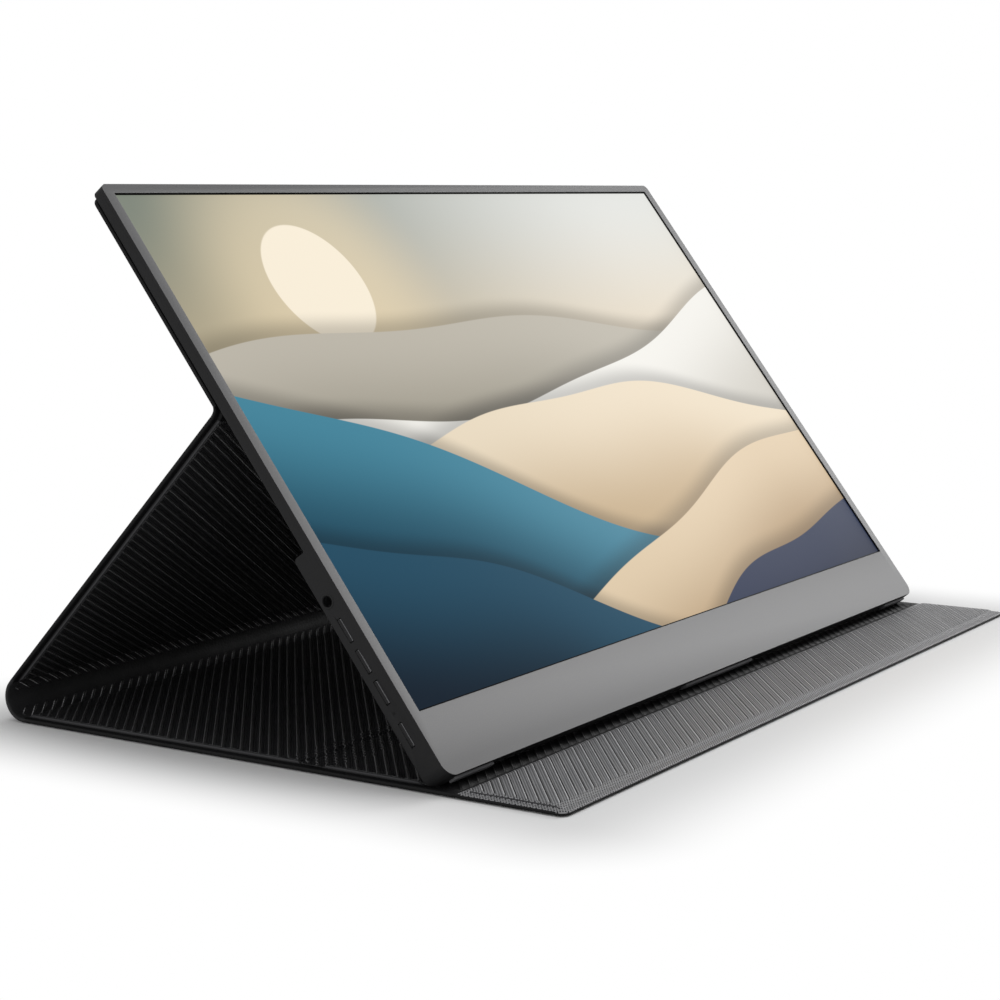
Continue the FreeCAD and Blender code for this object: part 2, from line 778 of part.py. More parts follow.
def screw_places():
    """The four corners of the main board, in from its edges."""
    inset = s("screw_inset")
    xs = (f"({BOARD_WEST} + {inset})", f"({BOARD_EAST} - {inset})")
    ys = (f"({BOARD_SOUTH} + {inset})", f"({BOARD_NORTH} - {inset})")
    return [(x, y) for x in xs for y in ys]


def make_main_board():
    board = body("main_board", MONITOR)
    block(
        board, "board", (BOARD_WEST, BOARD_EAST), (BOARD_SOUTH, BOARD_NORTH),
        (BOARD_BACK, BOARD_FRONT),
    )
    for count, (x, y) in enumerate(screw_places(), start=1):
        rod(
            board, f"board_hole_{count}", "z", (x, y),
            (f"({BOARD_BACK} - {s('overrun')})", s("overrun")),
            s("screw_radius + screw_gap"), adds=False,
        )
    chips = body("board_chips", MONITOR)
    top = f"({BOARD_FRONT} + {s('chip_thick')})"
    middle_y = f"({BOARD_SOUTH} + {s('main_board_height / 2')})"
    column = f"({BOARD_WEST} + {s('main_board_length / 3')})"
    block(
        chips, "picture_chip", about(column, s("chip_large")), about(middle_y, s("chip_large")),
        (BOARD_FRONT, top),
    )
    for count, side in enumerate((-1, 1), start=1):
        y = f"({middle_y} + {side} * {s('chip_large / 2 + chip_small')})"
        block(
            chips, f"power_chip_{count}", about(column, s("chip_small")),
            about(y, s("chip_small")), (BOARD_FRONT, top),
        )
    screws = body("board_screws", MONITOR)
    for count, (x, y) in enumerate(screw_places(), start=1):
        seat = (BOARD_FRONT, f"({BOARD_FRONT} + {s('screw_head_thick')})")
        rod(screws, f"screw_head_{count}", "z", (x, y), seat, s("screw_head_radius"))
        rod(
            screws, f"screw_shank_{count}", "z", (x, y), (BULGE_FLOOR, seat[0]), s("screw_radius")
        )


DRIVER_NORTH = f"({TRAY_CAVITY_SOUTH} - {s('tray_wall + driver_board_drop')})"
DRIVER_SOUTH = f"({DRIVER_NORTH} - {s('driver_board_height')})"
FLEX_FRONT = FRAME_BACK
FLEX_BACK = f"({FLEX_FRONT} - {s('flex_thick')})"
DRIVER_BACK = f"({FLEX_BACK} - {s('driver_board_thick')})"


def make_driver_board():
    """The long board in the chin, the flexes from the glass and the cable to the main board."""
    board = body("panel_driver_board", MONITOR)
    block(
        board, "board", both(s("driver_board_length / 2")), (DRIVER_SOUTH, DRIVER_NORTH),
        (DRIVER_BACK, FLEX_BACK),
    )
    flexes = body("panel_flexes", MONITOR)
    count = int(value(s("driver_board_length / flex_pitch")))
    for number in range(count):
        middle = f"({number - (count - 1) / 2} * {s('flex_pitch')})"
        block(
            flexes, f"flex_{number + 1}", about(middle, s("flex_width")),
            (f"({DRIVER_NORTH} - {s('flex_overlap')})", LCD_SOUTH), (FLEX_BACK, FLEX_FRONT),
        )
    cable = body("panel_cable", MONITOR)
    cable_x = about(f"({BOARD_WEST} + {s('cable_width')})", s("cable_width"))
    cable_y = f"({DRIVER_SOUTH} + {s('cable_inset')})"
    thick = s("cable_thick")
    level = f"({BOARD_FRONT} + {thick})"
    block(cable, "drop", cable_x, (cable_y, f"({cable_y} + {thick})"), (BOARD_FRONT, DRIVER_BACK))
    block(
        cable, "run", cable_x, (cable_y, f"({BOARD_SOUTH} + {s('cable_inset')})"),
        (BOARD_FRONT, level),
    )


def make_battery_and_speakers():
    battery = body("battery_pack", MONITOR)
    east = f"({INNER_EAST} - {s('battery_side')})"
    gap = s("seat_gap")
    floor = f"({BULGE_FLOOR} + {gap})"
    block(
        battery, "cells", (f"(0 - {east})", f"({s('battery_length')} - {east})"),
        (f"({INNER_SOUTH} + {s('battery_foot')})",
         f"({INNER_SOUTH} + {s('battery_foot + battery_height')})"),
        (floor, f"({floor} + {s('battery_thick')})"),
    )
    for name, side in (("left_speaker", -1), ("right_speaker", 1)):
        speaker = body(name, MONITOR)
        block(
            speaker, f"{name}_box", about(f"({side} * {SPEAKER_MIDDLE})", s("speaker_length")),
            (f"({INNER_SOUTH} + {gap})", f"({INNER_SOUTH} + {gap} + {s('speaker_height')})"),
            (f"({SLIM_FLOOR} - {s('speaker_thick')} + {gap})", f"({SLIM_FLOOR} + {gap})"),
        )


def make_steel_plates():
    """Thin plates glued inside the slim part, which the magnets of the cover hold."""
    plates = body("steel_hold_plates", MONITOR)
    north = f"({NORTH} - {s('steel_drop')})"
    for name, side in (("left", -1), ("right", 1)):
        block(
            plates, f"{name}_plate", about(f"({side} * {s('steel_side')})", s("steel_length")),
            (f"({north} - {s('steel_height')})", north),
            (SLIM_FLOOR, f"({SLIM_FLOOR} + {s('steel_thick')})"),
        )


# Cover panels: an outer skin turned up round a board, and a lining on top

UPRIGHT = FreeCAD.Vector(0, 0, 1)


def make_base():
    """The part that lies on the table: two stiff panels and the two creases before them."""
    width = both(HALF_COVER)
    stretches = (("middle", MIDDLE, MIDDLE_END), ("rear", REAR, SPINE))
    skin = body("base_skin", COVER)
    block(skin, "sheet", width, (FLAP_HINGE, SPINE), ("0", SKIN_TOP))
    lining = body("base_lining", COVER)
    thick = s("lining_thick")
    creases = (("foot", FLAP_HINGE, MIDDLE), ("middle", MIDDLE_END, REAR))
    for name, low, high in creases:
        block(lining, f"{name}_crease", width, (low, high), (SKIN_TOP, CREASE_THICK))
    risers = (
        ("foot_riser", f"({MIDDLE} - {thick})", MIDDLE),
        ("middle_riser", MIDDLE_END, f"({MIDDLE_END} + {thick})"),
        ("rear_riser", f"({REAR} - {thick})", REAR),
    )
    for name, low, high in risers:
        block(lining, name, width, (low, high), (SKIN_TOP, PANEL_THICK))
    inset = s("board_inset")
    inner = both(f"({HALF_COVER} - {inset})")
    for name, low, high in stretches:
        bed = (f"({low} + {inset})", f"({high} - {inset})")
        block(skin, f"{name}_turn", width, (low, high), (SKIN_TOP, BOARD_TOP))
        block(skin, f"{name}_bed", inner, bed, (SKIN_TOP, PANEL_THICK), adds=False)
        block(lining, f"{name}_face", width, (low, high), (BOARD_TOP, PANEL_THICK))
        board = body(f"{name}_base_board", COVER)
        block(board, "board", inner, bed, (SKIN_TOP, BOARD_TOP))


def make_spine():
    """The leather band that turns up at the back, in two layers round one centre."""
    layers = (
        ("spine_skin", s("spine_radius"), s("spine_radius - skin_thick")),
        (
            "spine_lining", s("spine_radius - skin_thick"),
            s("spine_radius - skin_thick - lining_thick"),
        ),
    )
    for name, outer, inner in layers:
        band = body(name, SPINE_BEND)
        turn = rod(band, f"{name}_turn", "x", ("0", "0"), both(HALF_COVER), outer)
        turn.Angle = math.degrees(PROP_LEAN)
        over = s("overrun")
        span = (f"(0 - {HALF_COVER} - {over})", f"({HALF_COVER} + {over})")
        rod(band, f"{name}_inside", "x", ("0", "0"), span, inner, adds=False)


def make_panel(prefix, placement, y_span, levels, round_north, board_name):
    """One stiff panel: skin, board in its bed, lining; levels run from outside to inside."""
    width = both(HALF_COVER)
    inset = s("board_inset")
    inner = both(f"({HALF_COVER} - {inset})")
    bed = (f"({y_span[0]} + {inset})", f"({y_span[1]} - {inset})")
    outside, skin_top, board_top, inside = levels
    skin = body(f"{prefix}_skin", placement)
    block(skin, "sheet", width, y_span, (outside, board_top))
    lining = body(f"{prefix}_lining", placement)
    block(lining, "face", width, y_span, (board_top, inside))
    if round_north is not None:
        edge = y_span[1] if round_north else y_span[0]
        for item in (skin, lining):
            round_edges(
                item, "corners", s("panel_corner_radius"),
                lambda p: abs(p.y - value(edge)) < SLACK, along=UPRIGHT,
            )
    block(skin, "bed", inner, bed, (skin_top, f"({board_top} + {s('overrun')})"), adds=False)
    board = body(board_name, placement)
    block(board, "board", inner, bed, (skin_top, board_top))
    return board


def make_flap():
    levels = ("0", SKIN_TOP, BOARD_TOP, PANEL_THICK)
    make_panel("flap", COVER, (FRONT, FLAP_END), levels, False, "flap_board")


def make_prop():
    """The panel that props the screen up, with the fold band at its upper end."""
    levels = ("0", SKIN_TOP, BOARD_TOP, PANEL_THICK)
    end = s("prop_length - fold_reach")
    make_panel("prop", PROP, (s("spine_gap"), end), levels, None, "prop_board")
    band = body("top_fold_band", PROP)
    middle = f"({PANEL_THICK} / 2)"
    block(
        band, "band", both(HALF_COVER), (end, s("prop_length")), about(middle, CREASE_THICK)
    )


def make_top_panel():
    """The panel held to the screen's back, with magnets let into its board."""
    outside = f"(0 - {TOP_THICK} / 2)"
    skin_top = f"({outside} + {s('top_skin_thick')})"
    board_top = f"({skin_top} + {s('top_board_thick')})"
    inside = f"({TOP_THICK} / 2)"
    y_span = (s("fold_gap"), s("top_fold_drop - top_panel_margin"))
    levels = (outside, skin_top, board_top, inside)
    board = make_panel("top", TOP_PANEL, y_span, levels, True, "top_board")
    magnets = body("cover_magnets", TOP_PANEL)
    y = s("top_fold_drop - steel_drop - steel_height / 2")
    over = s("overrun")
    count = int(value(s("steel_length / magnet_pitch")))
    for side in (-1, 1):
        for number in range(count):
            shift = f"{number - (count - 1) / 2} * {s('magnet_pitch')}"
            x = f"({side} * {s('steel_side')} + {shift})"
            name = f"{'left' if side < 0 else 'right'}_magnet_{number + 1}"
            rod(
                board, f"{name}_hole", "z", (x, y),
                (f"({skin_top} - {over})", f"({inside} + {over})"),
                s("magnet_radius + magnet_gap"), adds=False,
            )
            rod(magnets, name, "z", (x, y), (skin_top, board_top), s("magnet_radius"))


def report_places():
    """Prints the lines that the moving pieces turn about and the places of the sockets."""
    unrolled = value(SPINE) + SPINE_RADIUS * PROP_LEAN
    turned = complex(math.cos(PROP_LEAN), -math.sin(PROP_LEAN))
    end = complex(PROP.Base.y, PROP.Base.z)
    pivot = (unrolled - turned * end) / (1 - turned)
    print("screen lean", math.degrees(LEAN), "prop lean", math.degrees(PROP_LEAN))
    print("screen centre", SCREEN_CENTRE, "top fold", TOP_FOLD)
    print("spine pivot", pivot.real, pivot.imag)
    print("flap pivot", value(FLAP_HINGE), value(CREASE_THICK) / 2)
    jack = MONITOR.multVec(FreeCAD.Vector(value(LEFT_FACE), value(JACK_Y), value(JACK_Z)))
    print("jack mouth", tuple(jack))
    for name, kind, y in SOCKETS:
        mouth = MONITOR.multVec(FreeCAD.Vector(value(EAST), value(y), value(SOCKET_Z)))
        print(name, tuple(mouth))


make_front_frame()
make_display()
make_tray()
make_rear_housing()
make_feet()
make_buttons()
make_side_board()
make_audio_jack()
make_sockets()
make_main_board()
make_driver_board()
make_battery_and_speakers()
make_steel_plates()
make_base()
make_spine()
make_flap()
make_prop()
make_top_panel()
doc.recompute()

for item in doc.Objects:
    if {"Invalid", "Error"} & set(item.State):
        raise RuntimeError(f"{item.Label} did not build: {item.State}")

for feature, adds in expected:
    base = feature.BaseFeature
    change = feature.Shape.Volume - (base.Shape.Volume if base else 0)
    if change == 0 or (adds is not None and adds != (change > 0)):
        raise RuntimeError(f"{feature.Label} changes the volume by {change}")

os.makedirs("parts", exist_ok=True)
for item in parts:
    if item.Shape.isNull() or not item.Shape.isValid():
        raise RuntimeError(f"{item.Label} has no valid solid")
for item in parts:
    item.Shape.exportStep(os.path.join("parts", f"{item.Label}.step"))
    print(item.Label, len(item.Shape.Solids), round(item.Shape.Volume, 1))
report_places()
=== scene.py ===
"""Looks of the portable monitor in its folding cover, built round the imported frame.

Each piece is drawn in millimetres in a flat frame of its own, as it would lie on a bench, and a
matrix then puts it in its place in metres.
"""

import json
import math

import bmesh
import bpy
from mathutils import Matrix, Vector
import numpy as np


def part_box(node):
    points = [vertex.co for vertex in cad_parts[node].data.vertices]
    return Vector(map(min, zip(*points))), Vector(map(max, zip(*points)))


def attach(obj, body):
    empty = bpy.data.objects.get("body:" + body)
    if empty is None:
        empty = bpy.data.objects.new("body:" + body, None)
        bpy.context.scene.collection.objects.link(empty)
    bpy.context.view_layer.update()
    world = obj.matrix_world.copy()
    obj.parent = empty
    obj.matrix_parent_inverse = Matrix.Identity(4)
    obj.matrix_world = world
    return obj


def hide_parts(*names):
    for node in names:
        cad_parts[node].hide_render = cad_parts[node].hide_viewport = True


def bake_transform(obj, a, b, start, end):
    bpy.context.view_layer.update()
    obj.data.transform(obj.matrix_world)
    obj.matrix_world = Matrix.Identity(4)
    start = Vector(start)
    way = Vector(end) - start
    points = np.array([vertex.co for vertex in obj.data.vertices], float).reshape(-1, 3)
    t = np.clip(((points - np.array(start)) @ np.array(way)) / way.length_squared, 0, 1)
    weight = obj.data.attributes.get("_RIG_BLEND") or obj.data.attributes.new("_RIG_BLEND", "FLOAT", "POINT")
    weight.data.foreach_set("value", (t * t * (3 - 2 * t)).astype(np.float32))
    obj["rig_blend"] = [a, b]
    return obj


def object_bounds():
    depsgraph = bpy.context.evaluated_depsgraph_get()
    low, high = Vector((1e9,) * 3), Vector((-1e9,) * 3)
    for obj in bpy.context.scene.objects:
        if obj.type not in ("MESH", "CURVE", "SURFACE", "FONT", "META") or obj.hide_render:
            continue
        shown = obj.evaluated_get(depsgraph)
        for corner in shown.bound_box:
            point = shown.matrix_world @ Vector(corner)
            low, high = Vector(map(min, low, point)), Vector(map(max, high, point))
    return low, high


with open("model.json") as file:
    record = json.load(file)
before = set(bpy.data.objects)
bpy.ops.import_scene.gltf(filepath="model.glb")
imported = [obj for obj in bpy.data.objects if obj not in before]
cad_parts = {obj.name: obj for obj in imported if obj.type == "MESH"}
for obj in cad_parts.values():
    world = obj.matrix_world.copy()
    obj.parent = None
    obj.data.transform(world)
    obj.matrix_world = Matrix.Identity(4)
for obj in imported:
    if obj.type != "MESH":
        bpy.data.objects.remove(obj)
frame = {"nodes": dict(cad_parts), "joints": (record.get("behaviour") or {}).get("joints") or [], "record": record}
cad_low, cad_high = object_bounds()
MM = 0.001


# Camera
# A long lens to the left of the screen and a little above the table.

CAMERA_AT = Vector((-686.8, -426.5, 175.5)) * MM
CAMERA_YAW = math.radians(56.674)
CAMERA_PITCH = math.radians(7.926)
CAMERA_ROLL = math.radians(0.471)
FOCAL_LENGTH_PX = 2144.5
PICTURE_WIDTH_PX = 1000
SENSOR_WIDTH = 36


def make_camera():
    """The camera, turned to its yaw, pitch and roll."""
    flat = math.cos(CAMERA_PITCH)
    ahead = Vector((
        math.sin(CAMERA_YAW) * flat, math.cos(CAMERA_YAW) * flat, -math.sin(CAMERA_PITCH)
    ))
    level = Vector((math.cos(CAMERA_YAW), -math.sin(CAMERA_YAW), 0))
    below = ahead.cross(level)
    right = level * math.cos(CAMERA_ROLL) + below * math.sin(CAMERA_ROLL)
    down = below * math.cos(CAMERA_ROLL) - level * math.sin(CAMERA_ROLL)
    lens = bpy.data.cameras.new("camera")
    lens.sensor_width = SENSOR_WIDTH
    lens.lens = SENSOR_WIDTH * FOCAL_LENGTH_PX / PICTURE_WIDTH_PX
    camera = bpy.data.objects.new("camera", lens)
    turned = Matrix((right, -down, -ahead)).transposed().to_4x4()
    camera.matrix_world = Matrix.Translation(CAMERA_AT) @ turned
    bpy.context.scene.collection.objects.link(camera)
    bpy.context.scene.camera = camera


make_camera()


# Room
# A pale table top that keeps the shadow by the object and fades into a white surround, with
# soft lamps. The surround is white to the eye and to anything glossy, and dimmer as a source
# of light.

FLOOR_RADIUS = 6.0
FLOOR_DROP = 0.3 * MM
FLOOR_COLOUR = "#F6F6F6"
SHADOW_REACH = 0.055
SURROUND_LIGHT = 0.38
LAMPS = (
    # name, place, width and power
    ("overhead_lamp", (0.15, -0.05, 1.2), 1.0, 3.6),
    ("right_lamp", (1.25, -0.4, 0.6), 0.6, 6.5),
    ("left_lamp", (-1.2, -0.15, 0.26), 0.6, 2.6),
)


def srgb(code):
    """The linear colour of an sRGB hex code."""
    shares = [int(code[place:place + 2], 16) / 255 for place in (1, 3, 5)]
    return [c / 12.92 if c <= 0.04045 else ((c + 0.055) / 1.055) ** 2.4 for c in shares] + [1]


def add(tree, kind, inputs=None, **settings):
    """Adds one node; each input takes a number, a colour or the output of another node."""
    node = tree.nodes.new("ShaderNode" + kind)
    for name, setting in settings.items():
        setattr(node, name, setting)
    for name, value in (inputs or {}).items():
        if isinstance(value, bpy.types.NodeSocket):
            tree.links.new(value, node.inputs[name])
        else:
            node.inputs[name].default_value = value
    return node


def maths(tree, operation, *inputs):
    """The output of one math node."""
    return add(tree, "Math", dict(enumerate(inputs)), operation=operation).outputs[0]


def ramp(tree, value, low, high, to_low=0.0, to_high=1.0):
    """A value taken smoothly from one range to another and held at both ends."""
    ends = {"Value": value, "From Min": low, "From Max": high, "To Min": to_low, "To Max": to_high}
    return add(tree, "MapRange", ends, interpolation_type="SMOOTHSTEP").outputs[0]


def white_to_the_eye(tree):
    """One for camera, glossy and transmitted rays, and nothing for the light that falls."""
    rays = add(tree, "LightPath").outputs
    either = maths(tree, "MAXIMUM", rays["Is Camera Ray"], rays["Is Glossy Ray"])
    return maths(tree, "MAXIMUM", either, rays["Is Transmission Ray"])


def make_surround():
    """The white surround, and a view that shows each colour as its code says."""
    world = bpy.data.worlds.new("surround")
    world.use_nodes = True
    tree = world.node_tree
    tree.nodes.clear()
    strength = ramp(tree, white_to_the_eye(tree), 0.0, 1.0, SURROUND_LIGHT, 1.0)
    sky = add(tree, "Background", {"Color": srgb("#FFFFFF"), "Strength": strength})
    tree.links.new(sky.outputs[0], add(tree, "OutputWorld").inputs["Surface"])
    bpy.context.scene.world = world
    bpy.context.scene.view_settings.view_transform = "Standard"


def make_floor():
    """A matt table top that fades to plain white away from the object, for the eye only."""
    mesh = bpy.data.meshes.new("floor")
    form = bmesh.new()
    bmesh.ops.create_circle(form, cap_ends=True, segments=96, radius=FLOOR_RADIUS)
    form.to_mesh(mesh)
    form.free()
    floor = bpy.data.objects.new("floor", mesh)
    floor.location.z = -FLOOR_DROP
    bpy.context.scene.collection.objects.link(floor)
    paint = bpy.data.materials.new("pale_table_top")
    paint.use_nodes = True
    tree = paint.node_tree
    tree.nodes.clear()
    place = add(tree, "TexCoord").outputs["Object"]
    half = add(tree, "VectorMath", {0: place}, operation="ABSOLUTE").outputs[0]
    beyond = add(
        tree, "VectorMath", {0: half, 1: (cad_high.x, cad_high.y, 0)}, operation="SUBTRACT"
    ).outputs[0]
    outside = add(tree, "VectorMath", {0: beyond, 1: (0, 0, 0)}, operation="MAXIMUM").outputs[0]
    away = add(tree, "VectorMath", {0: outside}, operation="LENGTH").outputs["Value"]
    seen = maths(tree, "MULTIPLY", ramp(tree, away, 0.0, SHADOW_REACH), white_to_the_eye(tree))
    matt = add(tree, "BsdfDiffuse", {"Color": srgb(FLOOR_COLOUR)})
    glow = add(tree, "Emission", {"Color": srgb("#FFFFFF"), "Strength": 1.0})
    both = add(tree, "MixShader", {0: seen, 1: matt.outputs[0], 2: glow.outputs[0]})
    tree.links.new(both.outputs[0], add(tree, "OutputMaterial").inputs["Surface"])
    mesh.materials.append(paint)


def make_lamps():
    """Square lamps that face the object."""
    for name, place, size, power in LAMPS:
        light = bpy.data.lights.new(name, "AREA")
        light.size = size
        light.energy = power
        lamp = bpy.data.objects.new(name, light)
        lamp.location = place
        lamp.rotation_euler = (-Vector(place)).to_track_quat("-Z", "Y").to_euler()
        bpy.context.scene.collection.objects.link(lamp)


make_surround()
make_floor()
make_lamps()


# Base of the cover
# Two stiff panels and two soft creases that lie on the table. A sheet of black PU leather wraps
# round the edge, and on it lies a padded lining of the same leather, pressed over a ribbed die.
# Its ribs are painted black in the crease that holds the screen's foot, as painted shade.

SHEET_THICK = 0.7
CREASE_THICK = 1.4
PANEL_THICK = 2.3
HALF_WIDTH = cad_high.x / MM
FRONT = cad_low.y / MM
REAR = cad_high.y / MM
SPINE_RADIUS = 8.0
SPINE = REAR - SPINE_RADIUS
HINGE_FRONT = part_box("base_skin")[0].y / MM
BOARD_INSET = 3.0
MIDDLE_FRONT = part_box("middle_base_board")[0].y / MM - BOARD_INSET
MIDDLE_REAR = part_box("middle_base_board")[1].y / MM + BOARD_INSET
REAR_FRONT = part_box("rear_base_board")[0].y / MM - BOARD_INSET
RAMP = 2.4
LEDGE_EDGE = (
    # inset from the edge and height of the wrapped edge
    (2.1, 1.40), (1.0, 1.40), (0.55, 1.33), (0.22, 1.15), (0.05, 0.85), (0.0, 0.50),
    (0.08, 0.20), (0.35, 0.03), (0.9, 0.0),
)
PRESSED_LINE = (
    # inset from the edge, and height, of the line pressed in the underside
    (2.6, 0.0), (2.8, 0.12), (3.2, 0.12), (3.4, 0.0),
)
LINING_EDGE = (
    # inset from the edge, share of the way from the ledge up to the lining, and how much painted highlight
    (3.3, 1.0, 0.0), (3.05, 0.97, 0.3), (2.85, 0.75, 1.0), (2.65, 0.30, 0.3), (2.45, 0.04, 0.0),
)
WRAP_REACH = 3.9
LAP_INSET = 3.5
LAP_DROP = 0.35
LINING_INSET = 3.3
LINING_THICK = 0.5
ROW_STEP = 8.0
RIB_SPACING = 4.8
RIB_WIDTH = 0.48
RIB_HEIGHT = 0.15
RIB_FADE = 1.4
RIB_PROFILE = (
    # place across the rib in its widths, rise in its heights, and painted light; above zero it is a
    # painted highlight on the crest, and below zero painted shade in the groove that the die leaves beside the rib
    (-0.5, 0.0, 0.0), (-0.28, 0.8, 0.9), (0.0, 1.0, 1.0), (0.22, 0.7, 0.0), (0.5, -0.2, -1.0),
    (0.9, 0.0, -1.0), (1.6, 0.0, 0.0),
)
BASE_SHINE = 0.3
PROP_SHINE = 0.2
FLAP_SHINE = 1.0
CRUMPLE_SHINE = 1.2
BASE_RIB_ANGLE = math.radians(51)
CRUMPLE = 0.6
CRUMPLE_TURN = 2.9
CRUMPLE_SHIFT = 2.4
CRUMPLE_STEP = 0.7
LEATHER_BLACK = "#060607"
LEATHER_POLISHED = "#0B0B0C"
# Lighter blacks for the spine, as painted light in the shade of the prop.
SPINE_LIT_BLACK = "#202021"
SPINE_LIT_POLISHED = "#2B2B2C"
# Grey of the painted highlight along the lining's pressed rim.
PAINTED_HIGHLIGHT_GREY = "#4C4C4E"
# Painted shade in the grooves beside the ribs.
GROOVE_PAINTED_SHADE = "#020202"
GROUND_BLACK = "#060607"
STRAND_GREY = "#222224"
# A paler ground and strand, as painted sheen on the flap.
SHEEN_GROUND = "#28282A"
SHEEN_STRAND = "#969698"
# Painted highlight on the crests of the ribs.
CREST_PAINTED_HIGHLIGHT = "#E4E4E6"
# The pebble, the weave and the dots of painted highlight on the crests are drawn coarser than they are, to show.
PEBBLE = 0.9
PEBBLE_DEPTH = 0.12
WEFT = 1.15
WARP = 0.8
WEAVE_DEPTH = 0.05
CREST_DOT = 1.5
BETWEEN_DOTS = 0.45
HAND_PATCH = 28
RIBBED_HAND_PATCH = 22


def new_material(name, sockets):
    """A material with one principled shader, and the constants that its sockets hold."""
    made = bpy.data.materials.new(name)
    made.use_nodes = True
    shader = made.node_tree.nodes["Principled BSDF"]
    for socket, value in sockets.items():
        shader.inputs[socket].default_value = value
    return made, made.node_tree, shader


def join(tree, source, shader, socket):
    """Links one output to a socket of the shader."""
    tree.links.new(source, shader.inputs[socket])


def attribute(tree, name, output):
    """An output of the node that reads what the mesh keeps under a name."""
    return add(tree, "Attribute", attribute_name=name).outputs[output]


def pebbles(tree, place, size):
    """Height of a pebbled grain: soft cells of one size, roughened by finer noise."""
    cells = add(
        tree, "TexVoronoi", {"Vector": place, "Scale": 1 / size, "Randomness": 0.9},
        feature="SMOOTH_F1",
    ).outputs["Distance"]
    fine = add(tree, "TexNoise", {"Vector": place, "Scale": 3 / size, "Detail": 3.0}).outputs["Fac"]
    return maths(tree, "MULTIPLY_ADD", fine, 0.35, cells)


def wear(tree, place, size):
    """Broad uneven patches, from nothing to one, where hands have polished the surface."""
    patches = add(
        tree, "TexNoise", {"Vector": place, "Scale": 1 / size, "Detail": 4.0, "Roughness": 0.6}
    ).outputs["Fac"]
    return ramp(tree, patches, 0.35, 0.7)


def mixed(tree, share, first, second):
    """A colour between two, each a colour or another node's output."""
    return add(tree, "Mix", {"Factor": share, 6: first, 7: second}, data_type="RGBA").outputs[2]


def bump(tree, shader, height, depth):
    """Bump of a height pattern that is so many millimetres deep."""
    node = add(tree, "Bump", {"Height": height, "Distance": depth * MM, "Strength": 1.0})
    join(tree, node.outputs[0], shader, "Normal")


def bands(tree, run, pitch):
    """Waves from minus one to one along a run in millimetres."""
    return maths(tree, "SINE", maths(tree, "MULTIPLY", run, 2 * math.pi / pitch))


def make_grained_leather(name, black, polished):
    """PU leather rolled with a fine pebble: black, with polished patches and a painted grey highlight."""
    made, tree, shader = new_material(name, {"Specular IOR Level": 0.15})
    place = attribute(tree, "flat", "Vector")
    worn = wear(tree, place, HAND_PATCH)
    plain = mixed(tree, worn, srgb(black), srgb(polished))
    # Painted highlight, grey, where the mesh keeps one.
    painted_highlight = attribute(tree, "painted_highlight", "Fac")
    join(tree, mixed(tree, painted_highlight, plain, srgb(PAINTED_HIGHLIGHT_GREY)), shader, "Base Color")
    join(tree, ramp(tree, worn, 0, 1, 0.58, 0.55), shader, "Roughness")
    bump(tree, shader, pebbles(tree, place, PEBBLE), PEBBLE_DEPTH)
    return made


def make_ribbed_leather(name, ground_colour, strand_colour, specular):
    """The same leather on a woven ground: ribs with dotted painted highlights, painted shade in grooves."""
    made, tree, shader = new_material(name, {"Specular IOR Level": specular})
    place = attribute(tree, "flat", "Vector")
    along, across, _ = add(tree, "SeparateXYZ", {0: attribute(tree, "woven", "Vector")}).outputs
    dots = ramp(tree, bands(tree, along, CREST_DOT), -0.9, 0.5, BETWEEN_DOTS, 1.0)
    rib_painted_light = attribute(tree, "rib_painted_light", "Fac")
    # Painted highlight, dotted, on the crests, and painted shade in the grooves.
    painted_highlight = maths(tree, "MULTIPLY", dots, maths(tree, "MAXIMUM", rib_painted_light, 0.0))
    groove = maths(tree, "MAXIMUM", maths(tree, "MULTIPLY", rib_painted_light, -1.0), 0.0)
    cloth = maths(tree, "MAXIMUM", bands(tree, along, WEFT), bands(tree, across, WARP))
    ground = mixed(tree, ramp(tree, cloth, 0.0, 0.9), srgb(ground_colour), srgb(strand_colour))
    ground = mixed(tree, groove, ground, srgb(GROOVE_PAINTED_SHADE))
    join(tree, mixed(tree, painted_highlight, ground, srgb(CREST_PAINTED_HIGHLIGHT)), shader, "Base Color")
    polish = ramp(tree, wear(tree, place, RIBBED_HAND_PATCH), 0, 1, 0.4, 0.34)
    join(tree, maths(tree, "MULTIPLY_ADD", groove, 0.5, polish), shader, "Roughness")
    grain = maths(tree, "MULTIPLY_ADD", pebbles(tree, place, PEBBLE * 0.7), 0.15, cloth)
    bump(tree, shader, maths(tree, "MULTIPLY_ADD", dots, 0.4, grain), WEAVE_DEPTH)
    return made


def keep_flat(mesh):
    """Keeps where each point lies on the bench, for the patterns of the materials."""
    flat = mesh.attributes.new("flat", "FLOAT_VECTOR", "POINT")
    flat.data.foreach_set("vector", [number for v in mesh.vertices for number in v.co])


def keep_woven(mesh, rib_angle):
    """Keeps how far each point lies along and across the ribs, for the weave between them."""
    along = Vector((math.sin(rib_angle), math.cos(rib_angle)))
    across = Vector((math.cos(rib_angle), -math.sin(rib_angle)))
    woven = mesh.attributes.new("woven", "FLOAT_VECTOR", "POINT")
    flat = [Vector(point.vector[:2]) for point in mesh.attributes["flat"].data]
    woven.data.foreach_set("vector", [n for at in flat for n in (at @ along, at @ across, 0)])


def put_in_place(name, mesh, place, material, angle):
    """Moves a mesh from the bench to its place, dresses it, and keeps edges over the angle."""
    mesh.transform(place @ Matrix.Scale(MM, 4))
    mesh.materials.append(material)
    mesh.shade_smooth()
    mesh.set_sharp_from_angle(angle=math.radians(angle))
    made = bpy.data.objects.new(name, mesh)
    bpy.context.scene.collection.objects.link(made)
    return made


